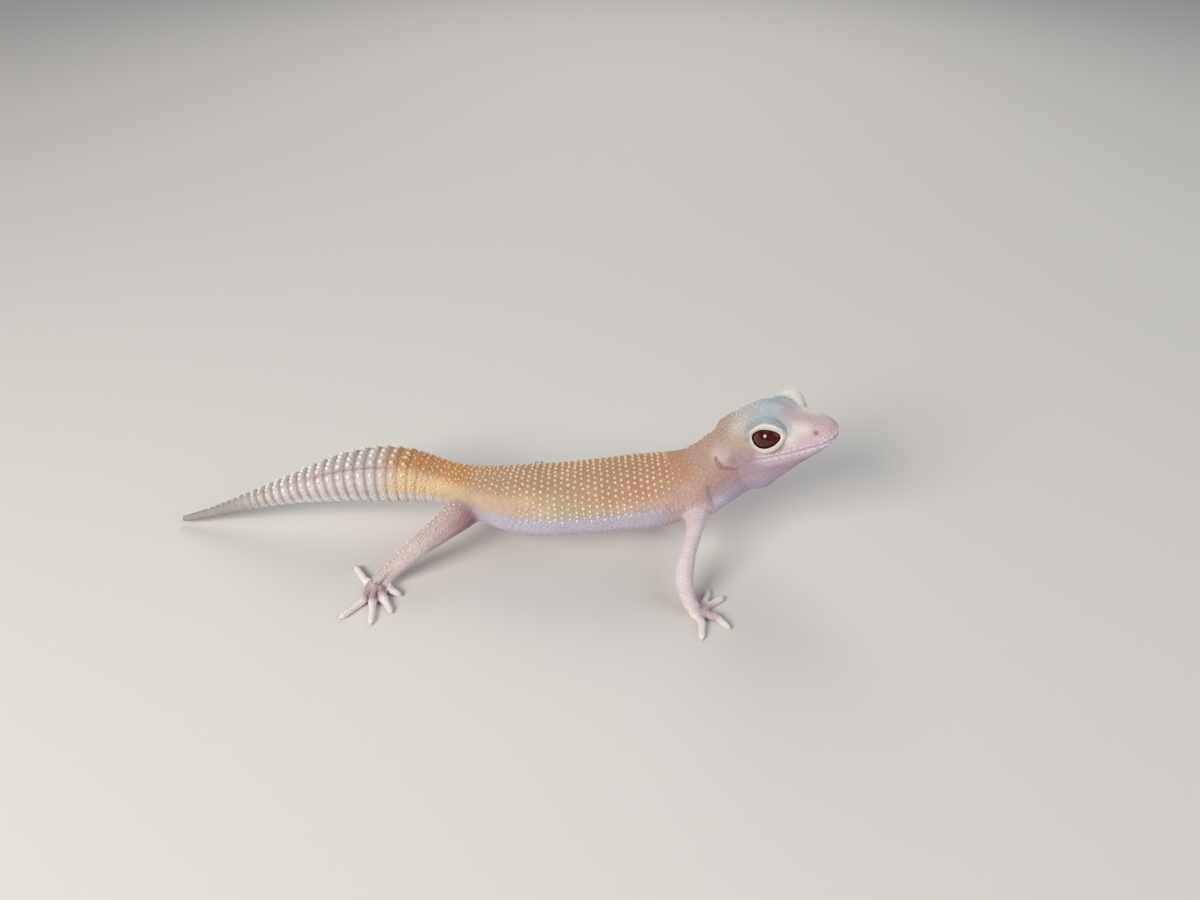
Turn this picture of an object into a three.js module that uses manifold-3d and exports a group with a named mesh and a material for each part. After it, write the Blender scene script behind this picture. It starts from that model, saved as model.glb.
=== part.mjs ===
// Leopard gecko, a slender young animal of a pale albino line, alert on all fours with its head
// raised and turned to its right.  Life size, in millimetres: +X is the way the trunk faces,
// +Y is the animal's left and +Z is up.  The soles rest on z = 0, and the origin is on that
// level, under the middle of the whole animal.
//
// The body is one loft along the backbone, from the tail's tip to the nape.  The head is a
// second loft in a frame of its own, and each leg is a chain of lofts.  Every piece is parted
// from the next by a thin gap.

import * as THREE from 'three';
import { mergeVertices } from 'three/addons/utils/BufferGeometryUtils.js';
import Module from 'manifold-3d';

const wasm = await Module();
wasm.setup();

// ---- driving dimensions -------------------------------------------------------------------

const gap = 0.3; // clearance between neighbouring pieces
const bodySides = 20; // points round a section of the body
const limbSides = 10;
const toeSides = 6;
const lidSides = 18;
const headSides = 24;
const headRings = 16;
const limbRings = 5;
const toeRings = 3;
const reach = 200; // longer than the animal, for cutting blocks
const floorDepth = 20; // thickness of the block that trims the soles level

// The backbone from the tail's tip to the nape: where the middle of the body is, half its
// width there, and how far the back and the belly stand from that middle.
const backbone = [
  { at: [-84.8, 6.2, 1.2], wide: 0.7, high: 0.65, deep: 0.65 },
  { at: [-78.0, 6.2, 3.2], wide: 1.15, high: 1.1, deep: 1.1 },
  { at: [-69.5, 6.4, 6.1], wide: 1.9, high: 1.8, deep: 1.7 },
  { at: [-60.8, 6.6, 8.9], wide: 2.9, high: 2.7, deep: 2.7 },
  { at: [-51.9, 6.8, 11.5], wide: 4.5, high: 4.1, deep: 4.1 },
  { at: [-45.7, 6.8, 12.9], wide: 5.3, high: 4.9, deep: 4.8 },
  { at: [-39.0, 6.7, 13.5], wide: 5.8, high: 5.3, deep: 5.2 },
  { at: [-33.2, 6.2, 13.2], wide: 5.3, high: 4.8, deep: 4.9 },
  { at: [-28.0, 5.1, 12.6], wide: 4.5, high: 4.2, deep: 4.3 },
  { at: [-23.0, 3.7, 12.1], wide: 4.9, high: 4.5, deep: 4.6 },
  { at: [-17.5, 2.0, 11.9], wide: 6.4, high: 5.3, deep: 5.3 },
  { at: [-11.0, 0.7, 12.1], wide: 7.6, high: 6.0, deep: 5.9 },
  { at: [-4.0, 0.1, 12.5], wide: 8.1, high: 6.2, deep: 6.1 },
  { at: [4.0, 0.3, 13.2], wide: 8.3, high: 6.3, deep: 6.3 },
  { at: [12.0, 0.7, 14.2], wide: 8.1, high: 6.3, deep: 6.4 },
  { at: [18.5, 0.9, 15.2], wide: 7.6, high: 6.1, deep: 6.4 },
  { at: [23.2, 1.2, 17.0], wide: 6.9, high: 5.6, deep: 6.4 },
  { at: [26.5, 1.8, 19.3], wide: 6.3, high: 5.25, deep: 6.9 },
  { at: [29.2, 2.6, 21.0], wide: 6.0, high: 5.8, deep: 7.6 },
  { at: [32.4, 3.2, 22.4], wide: 5.4, high: 6.2, deep: 7.9 },
];
const bellySquare = 2.5; // roundness of the underside, 2 being an ellipse
const backSquare = 2.1;

// Where the backbone is parted, as a share of its stations.
const tailTipEnd = 3.2;
const tailMiddleEnd = 6.2;
const tailBaseEnd = 9.4;
const trunkMiddle = 13.0;
const trunkFront = 16.2;

// The head, in a frame of its own: x forward from the line through the ears, y left, z up.
const head = { at: [31.4, 5.3, 24.8], yaw: -33.5, pitch: 24.5, roll: 5.5 };
const snoutTip = 20.4;
const headStations = [
  { x: -4.1, wide: 4.3, top: 2.9, low: -8.8, mid: -2.9, crown: 1.9 },
  { x: -1.95, wide: 5.9, top: 3.8, low: -9.8, mid: -3.6, crown: 1.85 },
  { x: 0.95, wide: 7.15, top: 4.85, low: -11.3, mid: -3.9, crown: 1.85 },
  { x: 3.9, wide: 7.7, top: 5.95, low: -11.1, mid: -3.7, crown: 1.95 },
  { x: 6.7, wide: 7.4, top: 6.3, low: -9.2, mid: -2.8, crown: 2.1 },
  { x: 9.55, wide: 6.6, top: 5.9, low: -7.6, mid: -1.85, crown: 2.3 },
  { x: 12.35, wide: 5.65, top: 4.3, low: -5.95, mid: -1.35, crown: 2.4 },
  { x: 15.2, wide: 4.6, top: 3.05, low: -4.6, mid: -0.95, crown: 2.4 },
  { x: 17.45, wide: 3.7, top: 2.35, low: -3.4, mid: -0.7, crown: 2.35 },
  { x: 19.1, wide: 2.8, top: 1.65, low: -2.45, mid: -0.5, crown: 2.3 },
  { x: 19.95, wide: 1.6, top: 0.95, low: -1.45, mid: -0.3, crown: 2.2 },
];
const nape = { x: -2.2, turn: 8 }; // where the head is parted from the neck
const jawSquare = 2.3;
const snoutTipZ = -0.35;
const brow = { x: 9.2, y: 4.6, long: 3.4, across: 1.8, rise: 0.8, spread: 0.3 };
const browHollow = { x: 9.5, across: 2.4, long: 4.5, depth: 0.2 };
const cheek = { x: 2.0, y: 7.6, z: -3.2, spread: 3.2, rise: 0.6 };
const muzzleHollow = { x: 15.6, y: 4.4, z: 1.2, spread: 2.3, depth: 0.35 };

const eye = { x: 9.25, y: 4.2, z: 2.1, radius: 3.0, forward: 0.12, upward: 0.33 };
const lid = {
  inside: 3.3, outside: 3.85, // distances from the eye's centre
  halfLong: 60, above: 34, below: 31, peak: 1.75, // the opening, in degrees from the gaze
  flare: 1.1, // how far the upper lid stands out toward the front
  spreadAbove: 88, spreadBelow: 54, spreadBeside: 74, // how far they reach, in degrees too
};
const socket = {
  ease: 6, // degrees that its mouth is wider than the lids
  behind: [0.75, 0.5, 0.25], // rings behind the eyeball, as shares of the way from its mouth
  over: 3, // how far the cut runs past the lids
};
const mouth = { corner: 5.9, cornerZ: -1.2, frontZ: -0.4, dip: 0.35, steps: 8 };
const jawHinge = { back: 0.6, lean: 3, low: -14, past: 3 }; // the cut behind and in front of the jaw
const ear = {
  right: [0.4, -8.2, -1.6], left: [-0.4, 7.1, -1.6], // the middle of each slit
  half: [1.7, 1.2, 0.8], // half lengths of the hollow
  drum: [1.3, 0.35, 0.4],
  inset: 0.45, // how deep the eardrum lies
  lean: 35, // degrees that the slit leans back
};

// Limbs, as a middle line with a radius at each point.
const legs = {
  fore_right: {
    upper: [
      [22.6, 0.5, 13.6, 3.6], [22.9, -4.6, 13.2, 2.7],
      [21.9, -9.8, 11.8, 1.6], [20.4, -13.6, 9.2, 1.7],
    ],
    lower: [
      [20.4, -13.6, 9.2, 1.8], [20.0, -16.0, 5.9, 1.85],
      [20.8, -18.2, 3.0, 1.5], [22.0, -19.2, 1.7, 1.3],
    ],
    sole: [23.0, -19.4, 0.75],
    palm: [2.0, 1.75, 0.85],
    toes: [
      [[22.0, -17.0], [20.9, -13.9]],
      [[24.2, -17.2], [25.3, -13.7]],
      [[25.3, -17.6], [28.0, -15.4]],
      [[26.3, -20.8], [28.5, -23.4]],
      [[23.2, -22.6], [22.8, -26.1]],
    ],
  },
  hind_right: {
    upper: [
      [-20.5, 2.6, 10.6, 4.2], [-24.0, -2.0, 9.9, 3.6],
      [-28.0, -5.8, 8.7, 2.8], [-31.2, -8.4, 7.6, 2.5],
    ],
    lower: [
      [-31.2, -8.4, 7.6, 2.5], [-34.0, -9.7, 5.4, 2.2],
      [-36.7, -11.0, 3.3, 1.9], [-38.4, -12.3, 1.8, 1.5],
    ],
    sole: [-39.0, -13.3, 0.8],
    palm: [2.0, 2.3, 0.9],
    toes: [
      [[-36.9, -13.6], [-34.7, -14.8]],
      [[-37.6, -16.2], [-35.8, -19.4]],
      [[-39.8, -17.8], [-39.3, -22.3]],
      [[-41.4, -16.4], [-45.4, -20.9]],
      [[-42.6, -11.2], [-45.4, -7.2]],
    ],
  },
  fore_left: {
    upper: [
      [22.0, 2.5, 13.4, 3.4], [20.6, 6.9, 12.0, 2.6],
      [18.0, 9.6, 10.2, 1.9], [15.8, 10.8, 8.2, 1.8],
    ],
    lower: [
      [15.8, 10.8, 8.2, 1.8], [14.4, 11.4, 5.6, 1.8],
      [13.4, 11.6, 3.2, 1.5], [12.8, 11.6, 1.7, 1.3],
    ],
    sole: [12.4, 11.6, 0.75],
    palm: [2.0, 1.8, 0.85],
    toes: [
      [[13.7, 9.6], [15.2, 7.3]],
      [[14.6, 11.0], [17.9, 10.4]],
      [[14.3, 13.1], [17.3, 14.9]],
      [[12.2, 14.4], [12.8, 17.8]],
      [[10.3, 12.7], [7.8, 14.7]],
    ],
  },
  hind_left: {
    upper: [
      [-19.0, 4.2, 10.4, 3.9], [-15.8, 7.4, 9.5, 3.2],
      [-12.2, 10.1, 9.3, 2.6], [-8.9, 12.2, 9.8, 2.3],
    ],
    lower: [
      [-8.9, 12.2, 9.8, 2.4], [-9.9, 13.5, 7.0, 2.2],
      [-11.7, 14.7, 4.0, 1.8], [-12.9, 15.3, 1.8, 1.5],
    ],
    sole: [-13.1, 15.9, 0.8],
    palm: [2.3, 2.0, 0.9],
    toes: [
      [[-11.6, 14.0], [-9.5, 12.6]],
      [[-10.3, 15.2], [-6.9, 15.3]],
      [[-9.4, 16.8], [-5.2, 18.5]],
      [[-11.1, 18.6], [-8.3, 22.2]],
      [[-14.7, 18.5], [-16.6, 21.6]],
    ],
  },
};
const toe = { middleZ: 0.52, root: 0.75, bend: 0.62, end: 0.56 };
const toeArch = { root: 0.2, bend: 0.25, pad: 0.05 }; // how far each part stands above middleZ
const claw = { long: 1.1, radius: 0.3, reach: 0.5, droop: 12, sides: 4 };
const domeAngle = 50; // latitude of the ring that rounds a limb's end, in degrees

// ---- colours ------------------------------------------------------------------------------

const flesh = (colour) => new THREE.MeshStandardMaterial({ color: colour, roughness: 0.5 });
const colours = {
  head: flesh(0xc3b6b4),
  jaw: flesh(0xc4aeb6),
  neck: flesh(0xc39a86),
  trunk: flesh(0xc59a72),
  tail: flesh(0xc9bcc0),
  tailBase: flesh(0xd2a468),
  limb: flesh(0xd9b3b6),
  lid: flesh(0xe2d9c4),
  ear: flesh(0x9c6470),
};
const eyeColour = new THREE.MeshStandardMaterial({ color: 0x4a0b0d, roughness: 0.08 });

// ---- shapes -------------------------------------------------------------------------------

const vec = (x, y, z) => new THREE.Vector3(x, y, z);
const radians = THREE.MathUtils.degToRad;
const bump = (distance, spread) => Math.exp(-((distance / spread) ** 2));

// A closed solid through rings of equally many points, with a pole in front of each end.
function loft(rings, startPole, endPole) {
  const sides = rings[0].length;
  const points = [...rings.flat(), startPole, endPole];
  const lastRing = (rings.length - 1) * sides;
  const faces = [];
  for (let i = 0; i < sides; i++) {
    const next = (i + 1) % sides;
    for (let row = 0; row < lastRing; row += sides) {
      faces.push(row + i, row + next, row + next + sides);
      faces.push(row + i, row + next + sides, row + i + sides);
    }
    faces.push(points.length - 2, next, i);
    faces.push(points.length - 1, lastRing + i, lastRing + next);
  }
  const geometry = new THREE.BufferGeometry().setFromPoints(points);
  geometry.setIndex(faces);
  return geometry;
}

// A point round a section, squarer as "square" grows beyond 2.
function roundedPoint(angle, square) {
  const swell = (v) => Math.sign(v) * Math.abs(v) ** (2 / square);
  return [swell(Math.cos(angle)), swell(Math.sin(angle))];
}

function frameAlong(tangent, up) {
  const left = up.clone().cross(tangent).normalize();
  return { left, over: tangent.clone().cross(left) };
}

// A tube with domed ends along a middle line given as [x, y, z, radius] points.
function limb(line, sides, steps, up) {
  const path = new THREE.CatmullRomCurve3(line.map(([x, y, z]) => vec(x, y, z)), false, 'catmullrom');
  const girth = new THREE.CatmullRomCurve3(line.map((p) => vec(p[3], 0, 0)), false, 'catmullrom');
  const ringAt = (t, latitude) => {
    const along = path.getTangent(t);
    const radius = girth.getPoint(t).x;
    const middle = path.getPoint(t).addScaledVector(along, radius * Math.sin(latitude));
    const { left, over } = frameAlong(along, up);
    return Array.from({ length: sides }, (_, i) => {
      const angle = (i / sides) * 2 * Math.PI;
      return middle.clone().addScaledVector(left, radius * Math.cos(latitude) * Math.cos(angle))
        .addScaledVector(over, radius * Math.cos(latitude) * Math.sin(angle));
    });
  };
  const poleAt = (t, way) => path.getPoint(t).addScaledVector(path.getTangent(t), way * girth.getPoint(t).x);
  const rings = [ringAt(0, -radians(domeAngle))];
  for (let i = 0; i <= steps; i++) rings.push(ringAt(i / steps, 0));
  rings.push(ringAt(1, radians(domeAngle)));
  return loft(rings, poleAt(0, -1), poleAt(1, 1));
}

function solid(geometry) {
  const bare = geometry.clone();
  bare.deleteAttribute('normal');
  bare.deleteAttribute('uv');
  const merged = mergeVertices(bare, 1e-5);
  return new wasm.Manifold(new wasm.Mesh({
    numProp: 3,
    vertProperties: new Float32Array(merged.attributes.position.array),
    triVerts: new Uint32Array(merged.index.array),
  }));
}

function pieceOf(name, shape, material) {
  const { numProp, vertProperties, triVerts } = shape.getMesh();
  const geometry = new THREE.BufferGeometry();
  const positions = new Float32Array((vertProperties.length / numProp) * 3);
  for (let i = 0; i < positions.length / 3; i++) {
    positions.set(vertProperties.subarray(i * numProp, i * numProp + 3), i * 3);
  }
  geometry.setAttribute('position', new THREE.BufferAttribute(positions, 3));
  geometry.setIndex(new THREE.BufferAttribute(new Uint32Array(triVerts), 1));
  geometry.computeVertexNormals();
  const mesh = new THREE.Mesh(geometry, material);
  mesh.name = name;
  return mesh;
}

// ---- body ---------------------------------------------------------------------------------

const stationCount = backbone.length - 1;
const backboneCurve = new THREE.CatmullRomCurve3(backbone.map((s) => vec(...s.at)), false, 'catmullrom');
const girthCurve = new THREE.CatmullRomCurve3(
  backbone.map((s) => vec(s.wide, s.high, s.deep)), false, 'catmullrom');

// The body between two stations, grown all round by "extra" and shortened by half a gap at each end.
function bodyLength(from, to, rings, extra = 0) {
  const ringAt = (station, shift) => {
    const t = station / stationCount;
    const along = backboneCurve.getTangent(t);
    const middle = backboneCurve.getPoint(t).addScaledVector(along, shift);
    const size = girthCurve.getPoint(t);
    const { left, over } = frameAlong(along, vec(0, 0, 1));
    return {
      middle,
      points: Array.from({ length: bodySides }, (_, i) => {
        const angle = (i / bodySides) * 2 * Math.PI;
        const above = Math.sin(angle) >= 0;
        const [side, rise] = roundedPoint(angle, above ? backSquare : bellySquare);
        return middle.clone().addScaledVector(left, side * (size.x + extra))
          .addScaledVector(over, rise * ((above ? size.y : size.z) + extra));
      }),
    };
  };
  const sections = [];
  for (let i = 0; i <= rings; i++) {
    const shift = i === 0 ? gap / 2 : i === rings ? -gap / 2 : 0;
    sections.push(ringAt(from + ((to - from) * i) / rings, shift));
  }
  return solid(loft(sections.map((s) => s.points), sections[0].middle, sections[rings].middle));
}

const tailTip = bodyLength(0, tailTipEnd, 7);
const tailMiddle = bodyLength(tailTipEnd, tailMiddleEnd, 7);
const tailBase = bodyLength(tailMiddleEnd, tailBaseEnd, 7);
const trunkRear = bodyLength(tailBaseEnd, trunkMiddle, 7);
const trunkFore = bodyLength(trunkMiddle, trunkFront, 6);
const wholeNeck = bodyLength(trunkFront, stationCount, 6);
const bodyClearance = bodyLength(tailBaseEnd - 2, stationCount, 24, gap);

// ---- head ---------------------------------------------------------------------------------

const headFrame = new THREE.Matrix4()
  .makeTranslation(...head.at)
  .multiply(new THREE.Matrix4().makeRotationZ(radians(head.yaw)))
  .multiply(new THREE.Matrix4().makeRotationY(radians(-head.pitch)))
  .multiply(new THREE.Matrix4().makeRotationX(radians(head.roll)));

function headSolid(extra = 0) {
  const curveOf = (pick) => new THREE.CatmullRomCurve3(headStations.map(pick), false, 'catmullrom');
  const widths = curveOf((s) => vec(s.x, s.wide, 0));
  const heights = curveOf((s) => vec(s.top, s.low, s.mid));
  const crowns = curveOf((s) => vec(s.crown, 0, 0));
  const rings = [];
  for (let r = 0; r <= headRings; r++) {
    const { x, y: wide } = widths.getPoint(r / headRings);
    const { x: top, y: low, z: mid } = heights.getPoint(r / headRings);
    rings.push(Array.from({ length: headSides }, (_, i) => {
      const angle = (i / headSides) * 2 * Math.PI;
      const square = Math.sin(angle) > 0 ? crowns.getPoint(r / headRings).x : jawSquare;
      const [side, rise] = roundedPoint(angle, square);
      const y = side * (wide + extra);
      const z = mid + rise * ((rise > 0 ? top - mid : mid - low) + extra);
      return shapedHead(vec(x, y, z));
    }));
  }
  const first = headStations[0];
  return solid(loft(rings, vec(first.x, 0, first.mid), vec(snoutTip + extra, 0, snoutTipZ)));
}

// Brows over the eyes, a hollow between them, full cheeks and a hollow along the muzzle.
function shapedHead(p) {
  const side = Math.sign(p.y) || 1;
  const crown = p.z > 0 ? 1 : 0;
  const distanceTo = (spot) => Math.hypot(p.x - spot.x, side * p.y - spot.y, p.z - spot.z);
  const browHere = crown * bump(p.x - brow.x, brow.long) * bump(side * p.y - brow.y, brow.across);
  const hollowHere = crown * bump(p.x - browHollow.x, browHollow.long) * bump(p.y, browHollow.across);
  const cheekHere = bump(distanceTo(cheek), cheek.spread);
  const muzzleHere = bump(distanceTo(muzzleHollow), muzzleHollow.spread);
  const outward = cheek.rise * cheekHere - muzzleHollow.depth * muzzleHere + brow.spread * browHere;
  return vec(p.x, p.y + side * outward, p.z + brow.rise * browHere - browHollow.depth * hollowHere);
}

// A cutting block whose outline is drawn in the head's side view and which runs right across it.
function sideBlock(outline) {
  const shape = new THREE.Shape(outline.map(([x, z]) => new THREE.Vector2(x, z)));
  const block = new THREE.ExtrudeGeometry(shape, { depth: reach, bevelEnabled: false });
  block.translate(0, 0, -reach / 2).rotateX(Math.PI / 2);
  return solid(block);
}

// The line of the lips from the mouth's corner to the snout, moved by "shift" up or down.
function lipLine(shift) {
  const points = [];
  for (let i = 0; i <= mouth.steps; i++) {
    const share = i / mouth.steps;
    const x = mouth.corner + share * (snoutTip + jawHinge.past - mouth.corner);
    const z = mouth.cornerZ + share * (mouth.frontZ - mouth.cornerZ);
    points.push([x, z - mouth.dip * Math.sin(share * Math.PI) + shift]);
  }
  return points;
}

const eyeCentre = (side) => vec(eye.x, side * eye.y, eye.z);
const gaze = (side) => vec(eye.forward, side, eye.upward).normalize();

// Points round the eye's centre, as many degrees from the gaze as "spreadAt" says and
// "distance" away, with "further" added to that.
function roundGaze(side, distance, spreadAt, further = () => 0) {
  const out = gaze(side);
  const over = vec(0, 0, 1).addScaledVector(out, -out.z).normalize();
  const beside = over.clone().cross(out);
  return Array.from({ length: lidSides }, (_, i) => {
    const angle = (i / lidSides) * 2 * Math.PI;
    const across = Math.cos(angle);
    const upward = Math.sin(angle);
    const spread = radians(spreadAt(across, upward));
    const away = distance + further(across, upward);
    const around = beside.clone().multiplyScalar(across).addScaledVector(over, upward);
    return eyeCentre(side).addScaledVector(out, away * Math.cos(spread))
      .addScaledVector(around, away * Math.sin(spread));
  });
}

// How far the lids reach round the eye: least below it and most at the corners.
function lidReach(across, upward) {
  const upright = upward > 0 ? lid.spreadAbove : lid.spreadBelow;
  return lid.spreadBeside * across ** 2 + upright * upward ** 2;
}

// The almond between the lids, pointed at its two corners.
function almond(across, upward) {
  const height = upward > 0 ? lid.above : lid.below;
  const wide = (Math.abs(across) / lid.halfLong) ** lid.peak;
  const tall = (Math.abs(upward) / height) ** lid.peak;
  return (wide + tall) ** (-1 / lid.peak);
}

// Both lids of one eye: a thin shell over the eyeball with the almond opening in it.
function eyelids(side) {
  const between = (share) => (across, upward) => {
    const inner = almond(across, upward);
    return inner + share * (lidReach(across, upward) - inner);
  };
  const visor = (across, upward) =>
    lid.flare * Math.max(0, upward) * Math.max(0, (1 - 2 * side * across) / 3);
  const loops = [
    roundGaze(side, lid.inside, between(0)), roundGaze(side, lid.outside, between(0), visor),
    roundGaze(side, lid.outside, between(0.45), visor), roundGaze(side, lid.outside, between(1)),
    roundGaze(side, lid.inside, between(1)), roundGaze(side, lid.inside, between(0.5))];
  const count = loops.length;
  const faces = [];
  for (let i = 0; i < lidSides; i++) {
    const next = (i + 1) % lidSides;
    for (let k = 0; k < count; k++) {
      const turn = (k + 1) % count;
      const [a, b, c, d] = [i * count + k, next * count + k, next * count + turn, i * count + turn];
      faces.push(a, c, b, a, d, c);
    }
  }
  const points = Array.from({ length: lidSides * count }, (_, n) => loops[n % count][Math.floor(n / count)]);
  const geometry = new THREE.BufferGeometry().setFromPoints(points);
  geometry.setIndex(faces);
  return solid(geometry);
}

// The hollow that an eye and its lids sit in: a ball behind, a wider mouth in front.
function eyeSocket(side) {
  const mouthRim = (across, upward) => lidReach(across, upward) + socket.ease;
  const end = lid.outside + socket.over;
  const rings = [
    ...socket.behind.map((share) => roundGaze(side, lid.inside, (across, upward) =>
      mouthRim(across, upward) + share * (180 - mouthRim(across, upward)))),
    ...[lid.inside, lid.outside + gap, end].map((distance) => roundGaze(side, distance, mouthRim)),
  ];
  const poleAt = (distance) => eyeCentre(side).addScaledVector(gaze(side), distance);
  return solid(loft(rings, poleAt(-lid.inside), poleAt(end)));
}

// An ellipsoid lying along the slit of the ear, "inset" below the skin.
function earShape(name, half, inset, across, around) {
  const [x, y, z] = ear[name];
  return solid(new THREE.SphereGeometry(1, across, around)).scale(half)
    .rotate([0, ear.lean, 0]).translate([x, y - Math.sign(y) * inset, z]);
}

const eyeballs = {};
const lids = {};
const eardrums = {};
const hollows = [];
for (const [name, side] of [['right', -1], ['left', 1]]) {
  eyeballs[name] = solid(new THREE.SphereGeometry(eye.radius, 14, 8).translate(...eyeCentre(side)));
  lids[name] = eyelids(side);
  eardrums[name] = earShape(name, ear.drum, ear.inset, 8, 5);
  hollows.push(eyeSocket(side), earShape(name, ear.half, 0, 10, 6));
}

// What lies below the lips and in front of the mouth's corner, "grown" past the cut on each side.
function belowLips(grown) {
  const rear = mouth.corner - jawHinge.back - Math.max(grown, 0) * 2;
  return sideBlock([
    [rear, mouth.cornerZ + grown],
    ...lipLine(grown),
    [snoutTip + jawHinge.past + 1, jawHinge.low],
    [rear - jawHinge.lean, jawHinge.low],
  ]);
}

// Head and neck are one shape, parted behind the ears by a plane that faces along "behind".
const behind = vec(Math.cos(radians(nape.turn)), Math.sin(radians(nape.turn)), 0);
const behindEar = vec(nape.x, ear.right[1], 0).dot(behind);
const neckInHead = wholeNeck.transform(headFrame.clone().invert().elements);
const headAndNeck = headSolid().add(neckInHead);
let wholeHead = headAndNeck.trimByPlane(behind.toArray(), behindEar + gap / 2);
for (const hollow of hollows) wholeHead = wholeHead.subtract(hollow);
const jaw = wholeHead.intersect(belowLips(-gap / 2));
const skull = wholeHead.subtract(belowLips(gap / 2));
const neck = headAndNeck.trimByPlane(behind.clone().negate().toArray(), gap / 2 - behindEar);

const inPlace = (shape) => shape.transform(headFrame.elements);

// ---- limbs --------------------------------------------------------------------------------

const floorBlock = solid(new THREE.BoxGeometry(reach * 2, reach * 2, floorDepth))
  .translate(0, 0, -floorDepth / 2);

// A toe from the sole's middle over its bend to its tip, with a claw in its end.
function toeShape([sx, sy], [[bx, by], [tx, ty]]) {
  const line = [
    [sx, sy, toe.middleZ + toeArch.root, toe.root],
    [bx, by, toe.middleZ + toeArch.bend, toe.bend],
    [(bx + tx) / 2, (by + ty) / 2, toe.middleZ + toeArch.pad, (toe.bend + toe.end) / 2],
    [tx, ty, toe.middleZ, toe.end],
  ];
  const out = vec(tx - bx, ty - by, 0).normalize();
  const hook = new THREE.ConeGeometry(claw.radius, claw.long, claw.sides);
  hook.rotateZ(-Math.PI / 2);
  hook.rotateY(radians(claw.droop));
  hook.rotateZ(Math.atan2(out.y, out.x));
  hook.translate(tx + out.x * claw.reach, ty + out.y * claw.reach, toe.middleZ + toeArch.pad);
  return solid(limb(line, toeSides, toeRings, vec(0, 0, 1))).add(solid(hook));
}

const limbs = {};
for (const [name, leg] of Object.entries(legs)) {
  const legPiece = (line) => solid(limb(line, limbSides, limbRings, vec(1, 0, 0)));
  const lower = legPiece(leg.lower);
  const lowerGrown = legPiece(leg.lower.map(([x, y, z, radius]) => [x, y, z, radius + gap]));
  const [sx, sy, sz] = leg.sole;
  let foot = solid(new THREE.SphereGeometry(1, 9, 6)).scale(leg.palm).translate(sx, sy, sz);
  for (const digit of leg.toes) foot = foot.add(toeShape([sx, sy], digit));
  limbs[name] = {
    upper: legPiece(leg.upper).subtract(bodyClearance).subtract(lowerGrown),
    lower: lower.subtract(bodyClearance),
    foot: foot.subtract(lowerGrown).subtract(floorBlock),
  };
}

// ---- the animal ---------------------------------------------------------------------------

const gecko = new THREE.Group();
gecko.name = 'leopard_gecko';
const add = (name, shape, material) => gecko.add(pieceOf(name, shape, material));

add('head', inPlace(skull), colours.head);
add('lower_jaw', inPlace(jaw), colours.jaw);
for (const side of ['right', 'left']) {
  add(`eye_${side}`, inPlace(eyeballs[side]), eyeColour);
  add(`eyelids_${side}`, inPlace(lids[side]), colours.lid);
  add(`ear_${side}`, inPlace(eardrums[side]), colours.ear);
}
add('neck', inPlace(neck), colours.neck);
add('trunk_front', trunkFore, colours.trunk);
add('trunk_rear', trunkRear, colours.trunk);
add('tail_base', tailBase, colours.tailBase);
add('tail_middle', tailMiddle, colours.tail);
add('tail_tip', tailTip, colours.tail);
for (const [name, { upper, lower, foot }] of Object.entries(limbs)) {
  const fore = name.startsWith('fore');
  const side = name.split('_')[1];
  add(`${fore ? 'upper_arm' : 'thigh'}_${side}`, upper, colours.limb);
  add(`${fore ? 'forearm' : 'shank'}_${side}`, lower, colours.limb);
  add(`${fore ? 'hand' : 'foot'}_${side}`, foot, colours.limb);
}

const box = new THREE.Box3().setFromObject(gecko);
gecko.position.set(-(box.min.x + box.max.x) / 2, -(box.min.y + box.max.y) / 2, -box.min.z);

export default gecko;
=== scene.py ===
import math

import bpy
import numpy as np
from mathutils import Matrix, Vector
from mathutils.bvhtree import BVHTree
from mathutils.kdtree import KDTree


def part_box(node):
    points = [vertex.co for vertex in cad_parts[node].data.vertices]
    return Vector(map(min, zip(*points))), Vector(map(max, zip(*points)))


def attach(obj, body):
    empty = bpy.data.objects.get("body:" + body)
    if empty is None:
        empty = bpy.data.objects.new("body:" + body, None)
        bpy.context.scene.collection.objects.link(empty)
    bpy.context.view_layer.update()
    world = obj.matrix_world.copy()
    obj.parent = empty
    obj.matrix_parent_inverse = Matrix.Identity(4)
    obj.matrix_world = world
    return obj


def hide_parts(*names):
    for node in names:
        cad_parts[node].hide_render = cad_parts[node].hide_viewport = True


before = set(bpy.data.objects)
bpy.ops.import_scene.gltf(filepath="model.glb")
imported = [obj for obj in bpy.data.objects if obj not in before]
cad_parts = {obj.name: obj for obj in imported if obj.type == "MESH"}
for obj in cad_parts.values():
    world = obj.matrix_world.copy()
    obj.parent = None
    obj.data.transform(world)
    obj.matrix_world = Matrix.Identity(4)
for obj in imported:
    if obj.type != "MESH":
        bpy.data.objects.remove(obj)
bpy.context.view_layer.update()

mm = 0.001

# Small helpers

def report(text):
    print("gecko:", text, flush=True)


def deselectAll():
    if bpy.context.object and bpy.context.object.mode != "OBJECT":
        bpy.ops.object.mode_set(mode="OBJECT")
    bpy.ops.object.select_all(action="DESELECT")


def pick(*objects):
    deselectAll()
    for one in objects:
        one.select_set(True)
    bpy.context.view_layer.objects.active = objects[0]


def applyModifier(piece, kind, **settings):
    modifier = piece.modifiers.new(kind.lower(), kind)
    for key, value in settings.items():
        setattr(modifier, key, value)
    pick(piece)
    bpy.ops.object.modifier_apply(modifier=modifier.name)


def coordsOf(mesh):
    flat = np.empty(len(mesh.vertices) * 3, np.float32)
    mesh.vertices.foreach_get("co", flat)
    return flat.reshape(-1, 3).astype(float)


def normalsOf(mesh):
    flat = np.empty(len(mesh.vertices) * 3, np.float32)
    mesh.vertex_normals.foreach_get("vector", flat)
    return flat.reshape(-1, 3).astype(float)


def setCoords(mesh, points):
    mesh.vertices.foreach_set("co", points.astype(np.float32).ravel())
    mesh.update()


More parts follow.
